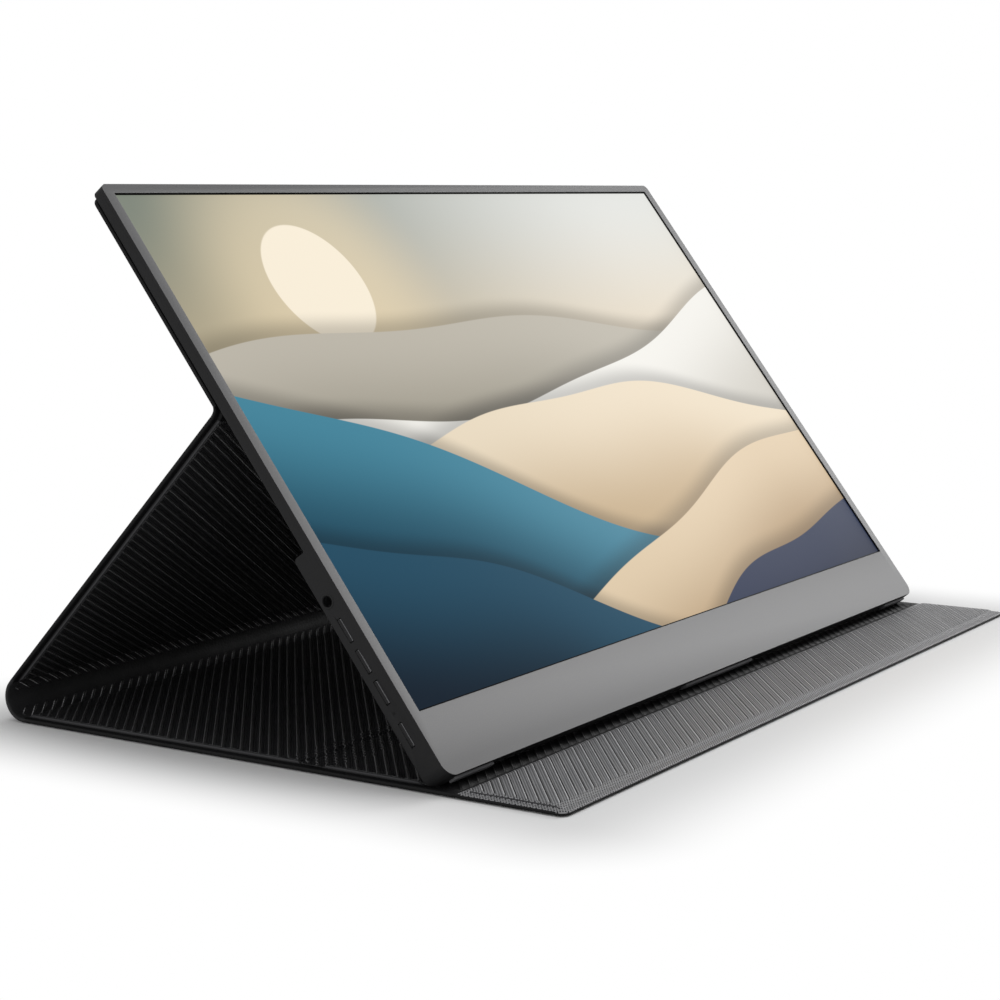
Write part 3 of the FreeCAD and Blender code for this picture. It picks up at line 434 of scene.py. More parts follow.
def new_piece(name, points, faces, place, material, angle=50):
    """A closed mesh in millimetres, put in its place."""
    mesh = bpy.data.meshes.new(name)
    mesh.from_pydata(points, [], faces)
    form = bmesh.new()
    form.from_mesh(mesh)
    bmesh.ops.recalc_face_normals(form, faces=form.faces)
    form.to_mesh(mesh)
    form.free()
    keep_flat(mesh)
    return put_in_place(name, mesh, place, material, angle)


def dressed(piece, body, nodes):
    """A piece that rides on a body and stands for CAD nodes, with their finish."""
    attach(piece, body)
    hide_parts(*nodes)
    return piece


def height_at(levels, y):
    """Height on a broken line of levels, each a place and a height."""
    if y <= levels[0][0]:
        return levels[0][1]
    for (low, below), (high, above) in zip(levels, levels[1:]):
        if y <= high:
            return below + (above - below) * (y - low) / (high - low)
    return levels[-1][1]


def rows_between(low, high, stops, step=ROW_STEP):
    """Places from one end to the other, with one at each stop."""
    bends = sorted({low, high, *(y for y in stops if low < y < high)})
    rows = []
    for start, end in zip(bends, bends[1:]):
        count = max(1, math.ceil((end - start) / step))
        rows += [start + (end - start) * number / count for number in range(count)]
    return rows + [high]


def side_stations(side, rows):
    """Stations of a straight side edge: place, way out, way round the corner and radius."""
    return [((side * HALF_WIDTH, y), (side, 0), (0, 0), 0) for y in rows]


def station_point(station, inset, height):
    """The point that lies inset from the edge at a station."""
    (x, y), (out_x, out_y), (turn_x, turn_y), radius = station
    inner = max(inset - radius, 0)
    reach = max(radius - inset, 0)
    return (x - out_x * inner + turn_x * reach, y - out_y * inner + turn_y * reach, height)


def wrapped_sheet(name, place, paths, levels, ledge=CREASE_THICK, outside=0.0):
    """The leather under a panel, wrapped up round each edge path and over the lining's edge."""
    points = []
    painted_highlight = []
    columns = []
    for path in paths:
        column = []
        for station in path:
            level = height_at(levels, station[0][1])
            rise = level - outside - ledge
            section = [(WRAP_REACH, outside + SHEET_THICK), (LAP_INSET, level - LAP_DROP)]
            section += [(inset, outside + ledge + rise * share) for inset, share, _ in LINING_EDGE]
            section += [
                (inset, outside + up * ledge / CREASE_THICK)
                for inset, up in (*LEDGE_EDGE, *PRESSED_LINE)
            ]
            column.append([len(points) + count for count in range(len(section))])
            points += [station_point(station, inset, height) for inset, height in section]
            # The lining's pressed rim gets a painted highlight, kept on each point.
            painted_light = [max(rise, 0) * share for _, _, share in LINING_EDGE]
            painted_highlight += [0, 0, *painted_light, *[0] * (len(section) - 2 - len(painted_light))]
        columns.append(column)
    faces = []
    for column in columns:
        for here, after in zip(column, column[1:]):
            faces += [(a, b, c, d) for a, b, c, d in zip(here, after, after[1:], here[1:])]
    faces.append([station[-1] for column in columns for station in column])
    faces.append([station[0] for column in columns for station in column])
    for count, column in enumerate(columns):
        after = columns[(count + 1) % len(columns)]
        faces.append(column[-1] + after[0][::-1])
    made = new_piece(name, points, faces, place, GRAINED_LEATHER, 40)
    made.data.attributes.new("painted_highlight", "FLOAT", "POINT").data.foreach_set("value", painted_highlight)
    return made


def ribbed_sheet(
    name, place, span, levels, ribs, shine, bare=(0.0, 0.0), crumpled=None, bend=None,
    thick=LINING_THICK, ground=True, material=None,
):
    """A sheet with slanting ribs that die away at its borders, or those ribs with no ground."""
    low, high = span
    slant_from, rib_angle = ribs
    half = HALF_WIDTH - LINING_INSET
    slant = math.tan(rib_angle)
    rib_low = low - RIB_FADE if bare[0] is None else low + bare[0]
    rib_high = high + RIB_FADE if bare[1] is None else high - bare[1]
    stops = [rib_low, rib_low + RIB_FADE, rib_high - RIB_FADE, rib_high]
    rows = rows_between(low, high, [*stops, *(y for y, _ in levels)])
    if crumpled:
        rows += rows_between(*crumpled, [], CRUMPLE_STEP)
    if bend:
        rows += rows_between(low, high, [], CRUMPLE_STEP)
    rows = sorted(set(rows))
    shifts = sorted(slant * (y - slant_from) for y in span)
    first = math.floor((-half - shifts[1]) / RIB_SPACING) - 1
    last = math.ceil((half - shifts[0]) / RIB_SPACING) + 1
    columns = [
        (number, number * RIB_SPACING + share * RIB_WIDTH / math.cos(rib_angle), rise, painted_light)
        for number in range(first, last + 1) for share, rise, painted_light in RIB_PROFILE
    ]
    # Rows lie across the cover, and columns run along the ribs.
    points = []
    rib_painted_light = []
    for y in rows:
        level = height_at(levels, y)
        share = min(max(min((y - rib_low) / RIB_FADE, (rib_high - y) / RIB_FADE), 0), 1)
        folded = crumpled and crumpled[0] <= y <= crumpled[1]
        sway = CRUMPLE if folded else 0
        # In the crumple the crests get a brighter painted highlight, as painted glints.
        bright = min(shine * CRUMPLE_SHINE, 1) if folded else shine
        for number, x, rise, painted_light in columns:
            wiggle = sway * math.sin(y * CRUMPLE_TURN + number * CRUMPLE_SHIFT)
            points.append((
                x + slant * (y - slant_from) + wiggle, y, level + rise * share * RIB_HEIGHT
            ))
            # Above zero a painted highlight on the crest, below zero painted shade in the groove.
            rib_painted_light.append(painted_light * share * (bright if painted_light > 0 else 1))
    width = len(columns)
    faces = [
        (row * width + column, row * width + column + 1,
         (row + 1) * width + column + 1, (row + 1) * width + column)
        for row in range(len(rows) - 1) for column in range(width - 1)
        if ground or (column + 1) % len(RIB_PROFILE)
    ]
    mesh = bpy.data.meshes.new(name)
    mesh.from_pydata(points, [], faces)
    mesh.attributes.new("rib_painted_light", "FLOAT", "POINT").data.foreach_set("value", rib_painted_light)
    # The slanting ends are cut off at both sides, and the ribs die away towards the cut.
    form = bmesh.new()
    form.from_mesh(mesh)
    for side in (-1, 1):
        for edge, clear in ((half - RIB_FADE, False), (half, True)):
            bmesh.ops.bisect_plane(
                form, geom=[*form.verts, *form.edges, *form.faces], clear_outer=clear,
                plane_co=(side * edge, 0, 0), plane_no=(side, 0, 0),
            )
    rib_painted_lights = form.verts.layers.float["rib_painted_light"]
    for vertex in form.verts:
        x, y, z = vertex.co
        share = min(max((half - abs(x)) / RIB_FADE, 0), 1)
        level = height_at(levels, y)
        vertex.co.z = level + (z - level) * share
        vertex[rib_painted_lights] *= share
    form.to_mesh(mesh)
    form.free()
    keep_flat(mesh)
    keep_woven(mesh, rib_angle)
    if bend:
        for vertex in mesh.vertices:
            vertex.co = bend(*vertex.co)
    made = put_in_place(name, mesh, place, material or RIBBED_LEATHER, 60)
    solid = made.modifiers.new("thickness", "SOLIDIFY")
    solid.thickness = thick * MM
    solid.offset = -1
    return made


GRAINED_LEATHER = make_grained_leather("grained_pu_leather", LEATHER_BLACK, LEATHER_POLISHED)
# A lighter copy of the grained leather, as painted light on the spine.
SPINE_LIT_LEATHER = make_grained_leather("spine_leather_painted_lighter", SPINE_LIT_BLACK, SPINE_LIT_POLISHED)
RIBBED_LEATHER = make_ribbed_leather("ribbed_pu_leather", GROUND_BLACK, STRAND_GREY, 0.45)
# A paler copy of the ribbed leather, as painted sheen on the flap.
SHEEN_LEATHER = make_ribbed_leather("ribbed_pu_leather_painted_sheen", SHEEN_GROUND, SHEEN_STRAND, 0.15)
BENCH = Matrix.Identity(4)
BASE_RIBS = (SPINE, BASE_RIB_ANGLE)
BASE_LEVELS = (
    (HINGE_FRONT, CREASE_THICK),
    (MIDDLE_FRONT - RAMP / 2, CREASE_THICK),
    (MIDDLE_FRONT + RAMP / 2, PANEL_THICK),
    (MIDDLE_REAR - RAMP / 4, PANEL_THICK),
    (MIDDLE_REAR + RAMP / 4, CREASE_THICK),
    (REAR_FRONT - RAMP / 4, CREASE_THICK),
    (REAR_FRONT + RAMP / 4, PANEL_THICK),
    (SPINE - RAMP, PANEL_THICK),
    (SPINE, CREASE_THICK),
)
base_rows = rows_between(HINGE_FRONT, SPINE, [y for y, _ in BASE_LEVELS])
base_leather = wrapped_sheet(
    "base_leather", BENCH, [side_stations(1, base_rows), side_stations(-1, base_rows[::-1])],
    BASE_LEVELS,
)
dressed(base_leather, "cover_base", ["base_skin"])
base_ribbing = ribbed_sheet(
    "base_ribbing", BENCH, (HINGE_FRONT, SPINE), BASE_LEVELS, BASE_RIBS, BASE_SHINE,
    bare=(None, None), crumpled=(MIDDLE_REAR - 2 * RAMP, REAR_FRONT + 2 * RAMP),
)
dressed(base_ribbing, "cover_base", ["base_lining"])
# Painted shade: the ribbing in the foot's crease takes the matt black leather.
base_ribbing.data.materials.append(GRAINED_LEATHER)
for polygon in base_ribbing.data.polygons:
    if polygon.center.y / MM < MIDDLE_FRONT:
        polygon.material_index = 1


# Front flap
# The same leather, board and lining, hinged in front of the crease that holds the screen's
# foot. Its front border has no ribs, and its two front corners are rounded. Its weave is
# painted paler, as painted sheen for the light that it catches at a low angle.

FLAP_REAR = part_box("flap_skin")[1].y / MM
FLAP_BARE = 1.0
CORNER_RADIUS = 3.0
CORNER_STEPS = 6
FLAP_RAMP = 3.0
FRONT_THICK = 1.7
FLAP_LEVELS = (
    (FRONT + LINING_INSET, FRONT_THICK), (FRONT + LINING_INSET + RAMP, PANEL_THICK),
    (FLAP_REAR - FLAP_RAMP, PANEL_THICK), (FLAP_REAR, CREASE_THICK),
)
FRONT_BORDER = 3.6
FRONT_FACES_UP = 0.2
SIDE_FACES_UP = 0.6


def horseshoe(end, low, high, stops):
    """The path along one side, round the end of a panel and back along the other side."""
    edge = low if end < 0 else high
    centre_y = edge - end * CORNER_RADIUS
    rows = rows_between(*sorted((high if end < 0 else low, centre_y)), stops)
    left = side_stations(-1, rows[:0:-1] if end < 0 else rows[:-1])
    for step in range(CORNER_STEPS + 1):
        turn = math.pi / 2 * step / CORNER_STEPS
        left.append((
            (CORNER_RADIUS - HALF_WIDTH, centre_y), (-1, end),
            (-math.cos(turn), end * math.sin(turn)), CORNER_RADIUS,
        ))
    right = [((-x, y), (-ox, oy), (-tx, ty), radius) for (x, y), (ox, oy), (tx, ty), radius in left]
    return left + right[::-1]


flap_leather = wrapped_sheet(
    "flap_leather", BENCH, [horseshoe(-1, FRONT, FLAP_REAR, [y for y, _ in FLAP_LEVELS])],
    FLAP_LEVELS,
)
dressed(flap_leather, "front_flap", ["flap_skin"])
flap_leather.data.materials.append(SHEEN_LEATHER)
keep_woven(flap_leather.data, BASE_RIB_ANGLE)
# Faces that look up on the front border and the sides take the copy with painted sheen.
for polygon in flap_leather.data.polygons:
    front_border = polygon.center.y / MM < FRONT + FRONT_BORDER
    if polygon.normal.z > (FRONT_FACES_UP if front_border else SIDE_FACES_UP):
        polygon.material_index = 1
flap_ribbing = ribbed_sheet(
    "flap_ribbing", BENCH, (FRONT + LINING_INSET, FLAP_REAR), FLAP_LEVELS, BASE_RIBS,
    FLAP_SHINE, bare=(FLAP_BARE, 0.0), material=SHEEN_LEATHER,
)
dressed(flap_ribbing, "front_flap", ["flap_lining"])


# Prop
# The long panel that rises from the spine to the fold behind the screen, made as the base is.
# Its ribs slant the other way, so that they meet those of the base in a chevron.

PROP_RIB_ANGLE = math.radians(-57.5)
JOINTS = {joint["name"]: Vector(joint["pos_m"]) for joint in frame["joints"] if "pos_m" in joint}
SPINE_CENTRE = Vector((0, SPINE, SPINE_RADIUS))
FOLD_LINE = JOINTS["top_fold_hinge"] / MM
TO_FOLD = FOLD_LINE - SPINE_CENTRE
MIDDLE_RADIUS = SPINE_RADIUS - PANEL_THICK / 2
PROP_LENGTH = math.sqrt(TO_FOLD.length_squared - MIDDLE_RADIUS ** 2)
PROP_LEAN = math.atan2(TO_FOLD.z, TO_FOLD.y) + math.atan2(MIDDLE_RADIUS, PROP_LENGTH)


def leaning(angle, y, z):
    """The frame of a leaning panel, turned about X, with its origin at y and z."""
    return Matrix.Translation((0, y * MM, z * MM)) @ Matrix.Rotation(angle, 4, "X")


PROP_PLACE = leaning(
    PROP_LEAN, SPINE + SPINE_RADIUS * math.sin(PROP_LEAN),
    SPINE_RADIUS - SPINE_RADIUS * math.cos(PROP_LEAN),
)
PROP_LOW = 0.8
PROP_FOLD_GAP = 3.6
PROP_BARE = 1.5
PROP_HIGH = PROP_LENGTH - PROP_FOLD_GAP
PROP_RIBS = (0, PROP_RIB_ANGLE)
PROP_LEVELS = (
    (PROP_LOW, CREASE_THICK), (PROP_LOW + RAMP, PANEL_THICK), (PROP_HIGH, PANEL_THICK)
)
prop_rows = rows_between(PROP_LOW, PROP_HIGH, [y for y, _ in PROP_LEVELS])
prop_leather = wrapped_sheet(
    "prop_leather", PROP_PLACE,
    [side_stations(1, prop_rows), side_stations(-1, prop_rows[::-1])], PROP_LEVELS,
)
dressed(prop_leather, "prop_panel", ["prop_skin"])
prop_ribbing = ribbed_sheet(
    "prop_ribbing", PROP_PLACE, (PROP_LOW, PROP_HIGH), PROP_LEVELS, PROP_RIBS, PROP_SHINE,
    bare=(None, PROP_BARE),
)
dressed(prop_ribbing, "prop_panel", ["prop_lining"])


# Monitor's own frame
# x runs along the screen, y up it and z out of its face, with zero at the screen's middle.

SCREEN_WIDTH = 345.6
SCREEN_HEIGHT = 195.0
TOP_BORDER = 3.6
CHIN = 22.3
FRAME_THICK = 1.2
MOUNTS = {mount["name"]: Vector(mount["pos_m"]) for mount in frame["record"]["mounts"]}
UPWARD = (MOUNTS["hdmi_socket"] - MOUNTS["usb_c_socket_2"]).normalized()
LEAN = math.atan2(UPWARD.z, UPWARD.y)
FRAME_LOW, FRAME_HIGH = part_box("front_frame")
FRAME_MIDDLE = Vector((0, (TOP_BORDER - CHIN) / 2, -FRAME_THICK / 2))
SCREEN_CENTRE = (FRAME_LOW + FRAME_HIGH) / 2 / MM - Matrix.Rotation(LEAN, 3, "X") @ FRAME_MIDDLE
MONITOR_PLACE = leaning(LEAN, SCREEN_CENTRE.y, SCREEN_CENTRE.z)


# Top panel
# Thinner than the rest, held flat on the monitor's back by magnets in its board.

TOP_THICK = 1.6
TOP_LEDGE = 1.3
TOP_PLACE = leaning(LEAN, FOLD_LINE.y, FOLD_LINE.z)
TOP_LOW = 2.0
TOP_HIGH = 83.4
TOP_LEVELS = ((TOP_LOW, TOP_THICK / 2 - RIB_HEIGHT), (TOP_HIGH, TOP_THICK / 2 - RIB_HEIGHT))
top_leather = wrapped_sheet(
    "top_leather", TOP_PLACE, [horseshoe(1, TOP_LOW, TOP_HIGH, [])], TOP_LEVELS,
    ledge=TOP_LEDGE, outside=-TOP_THICK / 2,
)
dressed(top_leather, "top_panel", ["top_skin"])
top_ribbing = ribbed_sheet(
    "top_ribbing", TOP_PLACE, (TOP_LOW, TOP_HIGH - LINING_INSET), TOP_LEVELS,
    (0, -PROP_RIB_ANGLE), PROP_SHINE, bare=(None, 0.0),
)
dressed(top_ribbing, "top_panel", ["top_lining"])


# Spine, fold and flap hinge
# Strips of the bare leather where the boards stop. One bends round the back of the cover, where
# the ends of the ribs run a little way on to it, one behind the screen and one under its foot.
# The one round the spine is painted lighter, as painted light in the shade of the prop.

SPINE_STEPS = 26
SPINE_INNER = SPINE_RADIUS - CREASE_THICK
BASE_RUN_ON = 5.4
PROP_RUN_ON = 4.5
RUN_ON_THICK = 0.1
RUN_ON_LIFT = 0.02
BASE_LAP = 1.6
PROP_LAP = 2.2
FOLD_LAP = 1.0
STRIP_LAP = 1.2
# Strips lie this much below the faces that they lap, so that none shows through another.
SUNK = 0.05
SLIGHTLY_SUNK = 0.02
FOLD_STEPS = 14
BAND_EDGE = (
    # inset from the edge, and share of the way from the outer to the inner face
    (0.0, 0.5), (0.1, 0.75), (0.35, 0.93), (0.9, 1.0), (2.1, 1.0),
)
SPINE_BLEND = {"start": (0, SPINE * MM, 0), "end": PROP_PLACE @ Vector((0, PROP_LOW * MM, 0))}
HINGE_BLEND = {"start": (0, HINGE_FRONT * MM, 0), "end": (0, FLAP_REAR * MM, 0)}


def leather_band(name, line, material, ledge=1.0):
    """A closed strip across the cover; the line gives its outer and inner face at each place."""
    # One loop round the band: up its edge, over the lap of the lining, and back underneath.
    half = [(HALF_WIDTH - inset, share * ledge) for inset, share in BAND_EDGE]
    half += [
        (HALF_WIDTH - inset, ledge + (1 - ledge) * share) for inset, share, _ in LINING_EDGE[::-1]
    ]
    under = [(HALF_WIDTH - inset, (1 - share) * ledge) for inset, share in BAND_EDGE[1:4]]
    loop = half + [(-x, share) for x, share in half[::-1]]
    loop += [(-x, share) for x, share in under] + under[::-1]
    points = []
    flat = []
    run = 0
    before = None
    for outer, inner in line:
        outer, inner = Vector(outer), Vector(inner)
        run += (outer - before).length if before else 0
        before = outer
        for x, share in loop:
            at = outer + (inner - outer) * share
            points.append((x, at.x, at.y))
            flat += [x, run, 0]
    width = len(loop)
    faces = [
        (row * width + column, row * width + (column + 1) % width,
         (row + 1) * width + (column + 1) % width, (row + 1) * width + column)
        for row in range(len(line) - 1) for column in range(width)
    ]
    faces.append(list(range(width)))
    faces.append([(len(line) - 1) * width + column for column in range(width)])
    made = new_piece(name, points, faces, BENCH, material)
    made.data.attributes["flat"].data.foreach_set("vector", flat)
    return made


def side_place(place, y, z):
    """A place in a panel's side view as one in the cover's side view."""
    point = place @ Vector((0, y * MM, z * MM))
    return Vector((point.y / MM, point.z / MM))


def blended_ribs(name, span, levels, ribs, bare, bend):
    """The ends of the ribs, which run on to the inside of the spine and bend with it."""
    # The run-on crests carry the full painted highlight.
    made = ribbed_sheet(
        name, BENCH, span, levels, ribs, 1.0, bare=bare, bend=bend, thick=RUN_ON_THICK,
        ground=False,
    )
    bpy.context.view_layer.update()
    graph = bpy.context.evaluated_depsgraph_get()
    made.data = bpy.data.meshes.new_from_object(
        made.evaluated_get(graph), preserve_all_data_layers=True, depsgraph=graph
    )
    made.modifiers.clear()
    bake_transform(made, "cover_base", "prop_panel", **SPINE_BLEND)


def spine_line():
    """Faces of the spine's band: a lap on the base, round the arc, and a lap on the prop."""
    line = [[(SPINE - BASE_LAP, SUNK), (SPINE - BASE_LAP, CREASE_THICK - SUNK)]]
    for step in range(SPINE_STEPS + 1):
        turn = PROP_LEAN * step / SPINE_STEPS
        line.append([
            (SPINE + radius * math.sin(turn), SPINE_RADIUS - radius * math.cos(turn))
            for radius in (SPINE_RADIUS, SPINE_INNER)
        ])
    line.append([side_place(PROP_PLACE, PROP_LAP, rise) for rise in (SUNK, CREASE_THICK - SUNK)])
    return line


def bent_from_base(x, y, z):
    """A point of the flat run-on, wrapped up the inside of the spine from the base."""
    turn = (y - SPINE) / SPINE_INNER
    reach = SPINE_INNER - z
    return (x, SPINE + reach * math.sin(turn), SPINE_RADIUS - reach * math.cos(turn))


def bent_from_prop(x, y, z):
    """A point of the flat run-on, wrapped down the inside of the spine from the prop."""
    turn = PROP_LEAN + min(y, 0) / SPINE_INNER
    reach = SPINE_INNER - z
    beyond = max(y, 0)
    return (
        x, SPINE + reach * math.sin(turn) + beyond * math.cos(PROP_LEAN),
        SPINE_RADIUS - reach * math.cos(turn) + beyond * math.sin(PROP_LEAN),
    )


def fold_line():
    """A soft bend that runs from the faces of the prop to those of the top panel."""
    faces = (
        (SLIGHTLY_SUNK, SLIGHTLY_SUNK - TOP_THICK / 2),
        (PANEL_THICK - SUNK, TOP_THICK / 2 - RIB_HEIGHT - SUNK),
    )
    line = []
    for step in range(FOLD_STEPS + 1):
        share = step / FOLD_STEPS
        pair = []
        for rise, lift in faces:
            start = side_place(PROP_PLACE, PROP_HIGH - FOLD_LAP, rise)
            end = side_place(TOP_PLACE, TOP_LOW + FOLD_LAP, lift)
            along = side_place(PROP_PLACE, PROP_HIGH, rise) - start
            back = side_place(TOP_PLACE, TOP_LOW, lift) - end
            gap = end - start
            cross = along.x * back.y - along.y * back.x
            turn = start + along * ((gap.x * back.y - gap.y * back.x) / cross)
            pair.append(start.lerp(turn, share).lerp(turn.lerp(end, share), share))
        line.append(pair)
    return line


spine_band = leather_band("spine_band", spine_line(), SPINE_LIT_LEATHER)
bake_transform(spine_band, "cover_base", "prop_panel", **SPINE_BLEND)
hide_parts("spine_skin", "spine_lining")
blended_ribs(
    "base_rib_ends", (SPINE, SPINE + BASE_RUN_ON), ((SPINE, RUN_ON_LIFT), (REAR, RUN_ON_LIFT)),
    BASE_RIBS, (None, 0.0), bent_from_base,
)
blended_ribs(
    "prop_rib_ends", (PROP_LOW - PROP_RUN_ON, PROP_LOW),
    ((0, RUN_ON_LIFT), (PROP_LOW, RUN_ON_LIFT)), PROP_RIBS, (0.0, None), bent_from_prop,
)
fold_band = leather_band("fold_band", fold_line(), GRAINED_LEATHER, CREASE_THICK / PANEL_THICK)
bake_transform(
    fold_band, "prop_panel", "top_panel", start=PROP_PLACE @ Vector((0, PROP_HIGH * MM, 0)),
    end=TOP_PLACE @ Vector((0, TOP_LOW * MM, 0)),
)
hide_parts("top_fold_band")
hinge_rows = (
    FLAP_REAR - STRIP_LAP, FLAP_REAR, (FLAP_REAR + HINGE_FRONT) / 2, HINGE_FRONT,
    HINGE_FRONT + STRIP_LAP,
)
flap_strip = leather_band(
    "flap_hinge_strip",
    [[(y, SUNK), (y, CREASE_THICK - SLIGHTLY_SUNK)] for y in hinge_rows], GRAINED_LEATHER,
)
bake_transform(flap_strip, "cover_base", "front_flap", **HINGE_BLEND)


# Stiffeners and magnets in the cover
# Boards of pressed grey card give the panels their stiffness, and small ferrite discs in the top
# one hold it to the steel plates behind the monitor's back.


def make_core(name, colour, other, grit, depth, sockets):
    """A finish with a grit of one size, seen as fine bumps and a slight change of colour."""
    made, tree, shader = new_material(name, sockets)
    place = add(
        tree, "VectorMath", {0: add(tree, "TexCoord").outputs["Object"], "Scale": 1 / MM},
        operation="SCALE",
    ).outputs[0]
    grains = add(
        tree, "TexNoise", {"Vector": place, "Scale": 1 / grit, "Detail": 4.0}
    ).outputs["Fac"]
    spread = ramp(tree, grains, 0.35, 0.65)
    join(tree, mixed(tree, spread, srgb(colour), srgb(other)), shader, "Base Color")
    bump(tree, shader, grains, depth)
    return made


def refinish(material, *nodes):
    """Gives carried-over CAD nodes their material."""
    for node in nodes:
        slots = frame["nodes"][node].data.materials
        slots.clear()
        slots.append(material)


refinish(
    make_core("pressed_grey_card", "#7E7B74", "#918D85", 0.8, 0.08, {"Roughness": 0.9}),
    "middle_base_board", "rear_base_board", "flap_board", "prop_board", "top_board",
)
refinish(
    make_core("sintered_ferrite", "#2F2F31", "#3A3A3C", 0.3, 0.02, {"Roughness": 0.5}),
    "cover_magnets",
)


# Rear housing
# Moulded in charcoal ABS, with a spark-eroded texture that scatters the light. Every edge of
# a real moulding has a small round, so the form of the frame's housing gets one too.

HOUSING_CHARCOAL = "#111112"
HOUSING_WORN = "#151516"
MOULDED_HAND_PATCH = 35
FLAT_ANGLE = math.radians(1)
EDGE_ANGLE = math.radians(40)
WELD = 0.001


def softened(node, name, width, material, shortest=0.8):
    """The form of a carried-over node with its long sharp edges rounded."""
    form = bmesh.new()
    form.from_mesh(frame["nodes"][node].data)
    bmesh.ops.remove_doubles(form, verts=form.verts, dist=WELD * MM)
    bmesh.ops.dissolve_limit(form, angle_limit=FLAT_ANGLE, verts=form.verts, edges=form.edges)
    edges = [
        edge for edge in form.edges
        if len(edge.link_faces) == 2 and edge.calc_face_angle() > EDGE_ANGLE
        and edge.calc_length() > shortest * MM
    ]
    bmesh.ops.bevel(
        form, geom=edges, offset=width * MM, segments=2, profile=0.5, affect="EDGES",
        clamp_overlap=False,
    )
    mesh = bpy.data.meshes.new(name)
    form.to_mesh(mesh)
    form.free()
    mesh.transform(Matrix.Scale(1 / MM, 4) @ MONITOR_PLACE.inverted())
    keep_flat(mesh)
    return put_in_place(name, mesh, MONITOR_PLACE, material, 30)


def make_moulded(name, colour, worn_colour, grit, depth, sockets):
    """Moulded in a spark-eroded tool: an even fine grit, with a little polish from handling."""
    made, tree, shader = new_material(name, sockets)
    place = attribute(tree, "flat", "Vector")
    colours = mixed(tree, wear(tree, place, MOULDED_HAND_PATCH), srgb(colour), srgb(worn_colour))
    join(tree, colours, shader, "Base Color")
    bump(tree, shader, pebbles(tree, place, grit), depth)
    return made


HOUSING_ABS = make_moulded(
    "moulded_abs", HOUSING_CHARCOAL, HOUSING_WORN, 0.5, 0.04,
    {"Roughness": 0.66, "Specular IOR Level": 0.22},
)
rear_housing = softened("rear_housing", "rear_housing_shell", 0.35, HOUSING_ABS, shortest=2.0)
dressed(rear_housing, "monitor", ["rear_housing"])


# Feet
# Three bars of silicone rubber, pressed into the underside of the housing.

# The rubber's grey is painted lighter, as painted light in the shade under the screen.
SILICONE_RUBBER = make_moulded(
    "silicone_rubber", "#5A5A5C", "#646466", 0.6, 0.03,
    {"Roughness": 0.72, "Specular IOR Level": 0.3},
)
feet = softened("rubber_feet", "housing_feet", 0.3, SILICONE_RUBBER)
dressed(feet, "monitor", ["rubber_feet"])


# Buttons
# Slim keys of ABS in slots of the left side, with rounded ends and a crowned top. Their edge
# toward the screen is painted pale, as a painted highlight.

BUTTON_LENGTH = 8.2
BUTTON_WIDTH = 1.3
BUTTON_Z = -5.5
HOUSING_SIDE = -177.3
BUTTON_PLACES = {
    # height of each key's middle in the monitor's own frame
    "menu_button_1": -64.7, "menu_button_2": -75.8, "menu_button_3": -86.9, "power_button": -101.85
}
KEY_STEPS = 8
BUTTON_RINGS = (
    # depth behind the housing's side, and inset from the key's outline
    (1.6, 0.0), (0.05, 0.0), (-0.1, 0.08), (-0.19, 0.22), (-0.235, 0.4), (-0.25, 0.58),
)


def stacked(name, rings, place, material, closed=False):
    """A skin over outlines of one count, each laid on the one before; closed, it is a torus."""
    width = len(rings[0])
    count = len(rings)
    points = [point for ring in rings for point in ring]
    faces = [
        (row * width + column, row * width + (column + 1) % width,
         (row + 1) % count * width + (column + 1) % width, (row + 1) % count * width + column)
        for row in range(count if closed else count - 1) for column in range(width)
    ]
    if not closed:
        faces.append(list(range(width)))
        faces.append([(count - 1) * width + column for column in range(width)])
    return new_piece(name, points, faces, place, material)


def key_outline(x, y, inset):
    """A slot-shaped outline round a key, at one depth."""
    radius = BUTTON_WIDTH / 2 - inset
    straight = (BUTTON_LENGTH - BUTTON_WIDTH) / 2
    outline = []
    for end in (1, -1):
        for step in range(KEY_STEPS + 1):
            turn = math.pi * step / KEY_STEPS
            outline.append((
                x, y + end * (straight + radius * math.sin(turn)),
                BUTTON_Z + end * radius * math.cos(turn),
            ))
    return outline


KEY_PAINTED_HIGHLIGHT = make_moulded(
    "key_edge_painted_highlight", "#77777A", "#88888A", 0.4, 0.01, {"Roughness": 0.35, "Specular IOR Level": 0.5}
)
FACE_WAY = MONITOR_PLACE.to_3x3() @ Vector((0, 0, 1))
HIGHLIGHT_SHARE = 0.7
for button, height in BUTTON_PLACES.items():
    rings = [key_outline(HOUSING_SIDE + depth, height, inset) for depth, inset in BUTTON_RINGS]
    key = stacked(button + "_key", rings, MONITOR_PLACE, HOUSING_ABS)
    # Faces toward the screen take a pale painted highlight.
    key.data.materials.append(KEY_PAINTED_HIGHLIGHT)
    for polygon in key.data.polygons:
        if polygon.normal.dot(FACE_WAY) > HIGHLIGHT_SHARE:
            polygon.material_index = 1
    dressed(key, button, [button])


# Sockets
# The sound socket has a thin raised collar in the housing's side. The others are drawn
# shells of nickel-plated steel on the main board, with their mouths flush with the housing.

